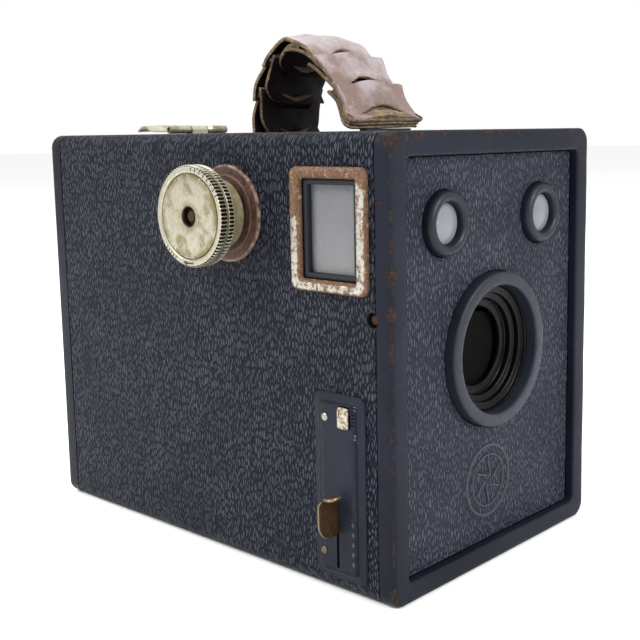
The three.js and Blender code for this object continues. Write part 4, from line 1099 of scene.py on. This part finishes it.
def lobe_outline(length, shoulder, waist, flare=0.0, corner=3.2):
    """A link's lobe: pointed shoulders at its root (v = 0), hollow sides, a rounded tip."""
    right = []
    steps = 26
    for i in range(steps + 1):
        t = i / steps
        v = t * length
        width = shoulder - (shoulder - waist) * math.sin(math.pi * min(t * 0.85, 1.0)) + flare * t**2.2
        left_over = length - v
        if left_over < corner:
            width -= corner * (1 - math.sqrt(max(1 - (1 - left_over / corner) ** 2, 0.0)))
        right.append((width, v - 0.5 * math.exp(-t * 9)))
    top = []
    first = right[0][0]
    for i in range(1, 16):
        share = 1 - 2 * i / 16
        top.append((-first * share, -0.5 - 0.9 * max(1 - (share * 1.9) ** 2, 0.0) + 0.5 * (1 - share**2)))
    left = [(-w, v) for w, v in reversed(right)]
    return right + left + top


def crescent(v, wide, tall):
    """An arched slit: its crown points to the root of the lobe."""
    upper, lower = [], []
    for i in range(17):
        share = 2 * i / 16 - 1
        rise = tall * math.cos(share * math.pi / 2) ** 1.2
        upper.append((share * wide, v - 0.12 - rise))
        lower.append((share * wide * 0.96, v + 0.12))
    return upper + list(reversed(lower))


def build_strap():
    """Six folded links, each an outer and an inner lobe; three climb to the top and three come down."""
    route = Route(STRAP_ROUTE)
    count, pitch, first = 6, 10.2, -1.5
    half_wide, shoulder = 13.0, 13.7
    for k in range(count):
        last = k == count - 1
        climbing = k < 3
        start = first + k * pitch
        length = pitch + 3.4 if not last else route.total - start + 0.5
        jitter = random.Random(40 + k)
        lean, twist = jitter.uniform(-0.7, 0.7), jitter.uniform(-0.2, 0.2)
        phase = k * 1.7

        def outside(u, v, w, gap=0.0):
            """Place on the outer lobe; gap is the depth below it."""
            t = min(max(v / length, 0.0), 1.0)
            if climbing:
                level = 1.0 + 1.5 * math.sin(math.pi * min(t * 1.12, 1.0)) ** 0.8 - 0.5 * t - gap
            else:
                level = 2.1 - 1.4 * min(t * 1.35, 1.0) ** 0.75 - gap
            crown = 0.55 - 1.1 * (u / half_wide) ** 2
            ripple = 0.16 * math.sin(u * 0.5 + phase) * math.cos(v * 0.55)
            point, normal = route.at(start + v + lean * u / half_wide)
            lift = level + crown + ripple + twist * u / half_wide + w
            x = u + 0.15 * math.sin(v * 0.8 + phase)
            return (x, point.x + normal.x * lift, point.y + normal.y * lift)

        def under(u, v, w):
            """Place on the inner lobe, which points back along the strap where it climbs."""
            t = min(max(v / length, 0.0), 1.0)
            side = -1 if climbing else 1
            if climbing:
                level = 0.5 + 1.1 * t
                reach = start + length - 0.6 - v
            else:
                level = 2.0 - 1.35 * min(t * 1.35, 1.0) ** 0.75
                reach = start + v
            ripple = 0.16 * math.sin(u * 0.5 + phase) * math.cos(v * 0.55)
            point, normal = route.at(max(reach, -1.4))
            lift = -level - 0.2 + 0.9 * (u / half_wide) ** 2 + ripple + side * w
            return (side * u, point.x + normal.x * lift, point.y + normal.y * lift)

        waist, flare, corner = (12.4, 4.0, 4.6) if last else (11.7, 0.0, 3.4)
        slit = crescent(length - 2.3, 9.8, 3.2) if last else crescent(pitch - 1.0, 6.9, 2.3)
        lobe = lobe_outline(length, shoulder, waist, flare, corner)
        # Material 2, the near-black hide, is painted shade on the lower faces, the inner lobes and the neck
        # folds.
        outer = sheet_metal(lobe, [slit], outside, 1.0, 1.3, 0.25, (0, 1, 2))
        if climbing:
            end = length - 2.6
            slit = [(u, 2 * end - v) for u, v in reversed(crescent(end, 5.6, 1.5))]
            lobe = lobe_outline(length - 0.3, shoulder - 1.4, waist - 0.6, 0.4, 6.5)
        else:
            slit = crescent(length - 2.6, 7.0, 1.6) if last else crescent(pitch - 0.5, 6.0, 1.8)
            lobe = lobe_outline(length - 0.3, shoulder - 0.4, waist - 0.3, flare * 0.85)
        inner = sheet_metal(lobe, [slit], under, 1.0, 1.3, 0.25, (2, 1, 2))
        parts = [outer, inner, neck_fold(outside)]
        if climbing:
            parts.append(slit_lip(under, length - 2.5))
        if last:
            for gap in (1.05, 2.1):
                layer = lobe_outline(length - 0.1 * gap, 12.4, 12.0, 4.0, corner)
                deeper = functools.partial(outside, gap=gap)
                parts.append(sheet_metal(layer, [], deeper, 0.9, 1.6, 0.3, (1, 1, 1)))
            parts.append(raised_lip(outside, length - 2.0))
        stands = [] if last else [f"strap_link_{k + 1}"]
        piece(f"strap_fold_{k + 1}", parts, [HIDE, RAW, SHADED_INNER_HIDE], "root", stands, 60)


def slit_lip(put, v):
    """The pale edge of the next fold, seen in a slit of the strap's inner side."""
    section = ((-0.9, -0.3), (-0.6, 0.75), (0.0, 0.95), (0.35, 0.7), (0.4, -0.3))
    rings = []
    steps = 20
    for i in range(steps + 1):
        share = 2 * i / steps - 1
        sag = v + 1.5 * math.cos(share * math.pi / 2) ** 1.2
        narrow = math.cos(share * 1.45) ** 0.5
        rings.append([put(share * 5.4, sag + dv * narrow, w) for dv, w in section])
    return loft(rings, capped=True, index=1)


def raised_lip(put, v):
    """The layered edge of the folded end that shows in the last slit."""
    rings = []
    steps = 24
    for i in range(steps + 1):
        share = 2 * i / steps - 1
        bow = math.cos(share * math.pi / 2) ** 0.8
        tall = 0.3 + 0.7 * bow + 0.12 * math.sin(share * 9)
        section = [(-0.1, -0.9), (0.0, tall * 0.7), (0.4, tall), (1.2, tall * 0.85)]
        section += [(1.9 + bow, 0.45), (2.0 + bow, -0.9)]
        rings.append([put(share * 11.0, v - bow + dv, w) for dv, w in section])
    return loft(rings, capped=True, index=1)


def neck_fold(put):
    """The narrow fold that joins the outer and inner lobes through the slits of the link before."""
    section = [(u, -0.5) for u in (-5.6, -2.8, 0, 2.8, 5.6)] + [(u, 0.5) for u in (5.6, 0, -5.6)]
    rings = []
    for i in range(17):
        turn = math.pi * i / 16
        v = 0.2 - 2.0 * math.sin(turn)
        ring = []
        for wide, thick in section:
            reach = (1.7 + thick) * math.cos(turn) - 2.0
            ring.append(put(wide, v - thick * math.sin(turn), reach))
        rings.append(ring)
    return loft(rings, capped=True, index=2)


# ---- stage ---------------------------------------------------------------------------------------------
def build_stage():
    scene = bpy.context.scene
    scene.view_settings.view_transform = "Standard"
    scene.view_settings.look = "None"
    data = bpy.data.cameras.new("camera")
    camera = bpy.data.objects.new("camera", data)
    scene.collection.objects.link(camera)
    camera.location = Vector((-214.56, -210.89, 107.69)) * MM
    camera.rotation_euler = [math.radians(a) for a in (81.615, 0.832, -48.243)]
    data.sensor_width = 36.0
    data.lens = 59.55
    data.shift_x, data.shift_y = -0.0617, -0.0494
    data.clip_start = 0.01
    scene.camera = camera

    floor = bpy.data.meshes.new("floor")
    reach = 6.0
    corners = [(-reach, -reach, 0), (reach, -reach, 0), (reach, reach, 0), (-reach, reach, 0)]
    floor.from_pydata(corners, [], [(0, 1, 2, 3)])
    ground = bpy.data.objects.new("floor", floor)
    ground.location.z = -0.0001
    scene.collection.objects.link(ground)
    look = bpy.data.materials.new("pale_floor")
    look.use_nodes = True
    shader = look.node_tree.nodes["Principled BSDF"]
    shader.inputs["Base Color"].default_value = (0.92, 0.92, 0.92, 1)
    shader.inputs["Roughness"].default_value = 0.9
    shader.inputs["Specular IOR Level"].default_value = 0.1
    floor.materials.append(look)

    world = bpy.data.worlds.new("studio")
    world.use_nodes = True
    scene.world = world
    back = world.node_tree.nodes["Background"]
    back.inputs["Color"].default_value = (1.0, 1.0, 1.0, 1)
    back.inputs["Strength"].default_value = 1.0
    add_light("key", (-0.75, 0.35, 0.85), 0.45, 11.0)
    add_light("fill", (0.1, -0.95, 0.6), 0.6, 11.5)
    add_light("top", (0.1, 0.2, 1.2), 0.9, 5.0)


def add_light(name, place, size, power):
    """A square light, in metres and watts, that faces the middle of the object."""
    data = bpy.data.lights.new(name, "AREA")
    data.shape = "SQUARE"
    data.size = size
    data.energy = power
    made = bpy.data.objects.new(name, data)
    bpy.context.scene.collection.objects.link(made)
    made.location = Vector(place)
    aim = Vector((0, 0, 0.05)) - made.location
    made.rotation_euler = aim.to_track_quat("-Z", "Y").to_euler()


build_stage()
build_covering()
build_front_frame()
build_front_covering()
build_rear()
build_lens()
build_side_finder()
build_top_finder()
build_knob()
build_shutter_side()
build_latch()
build_inside()
build_strap()
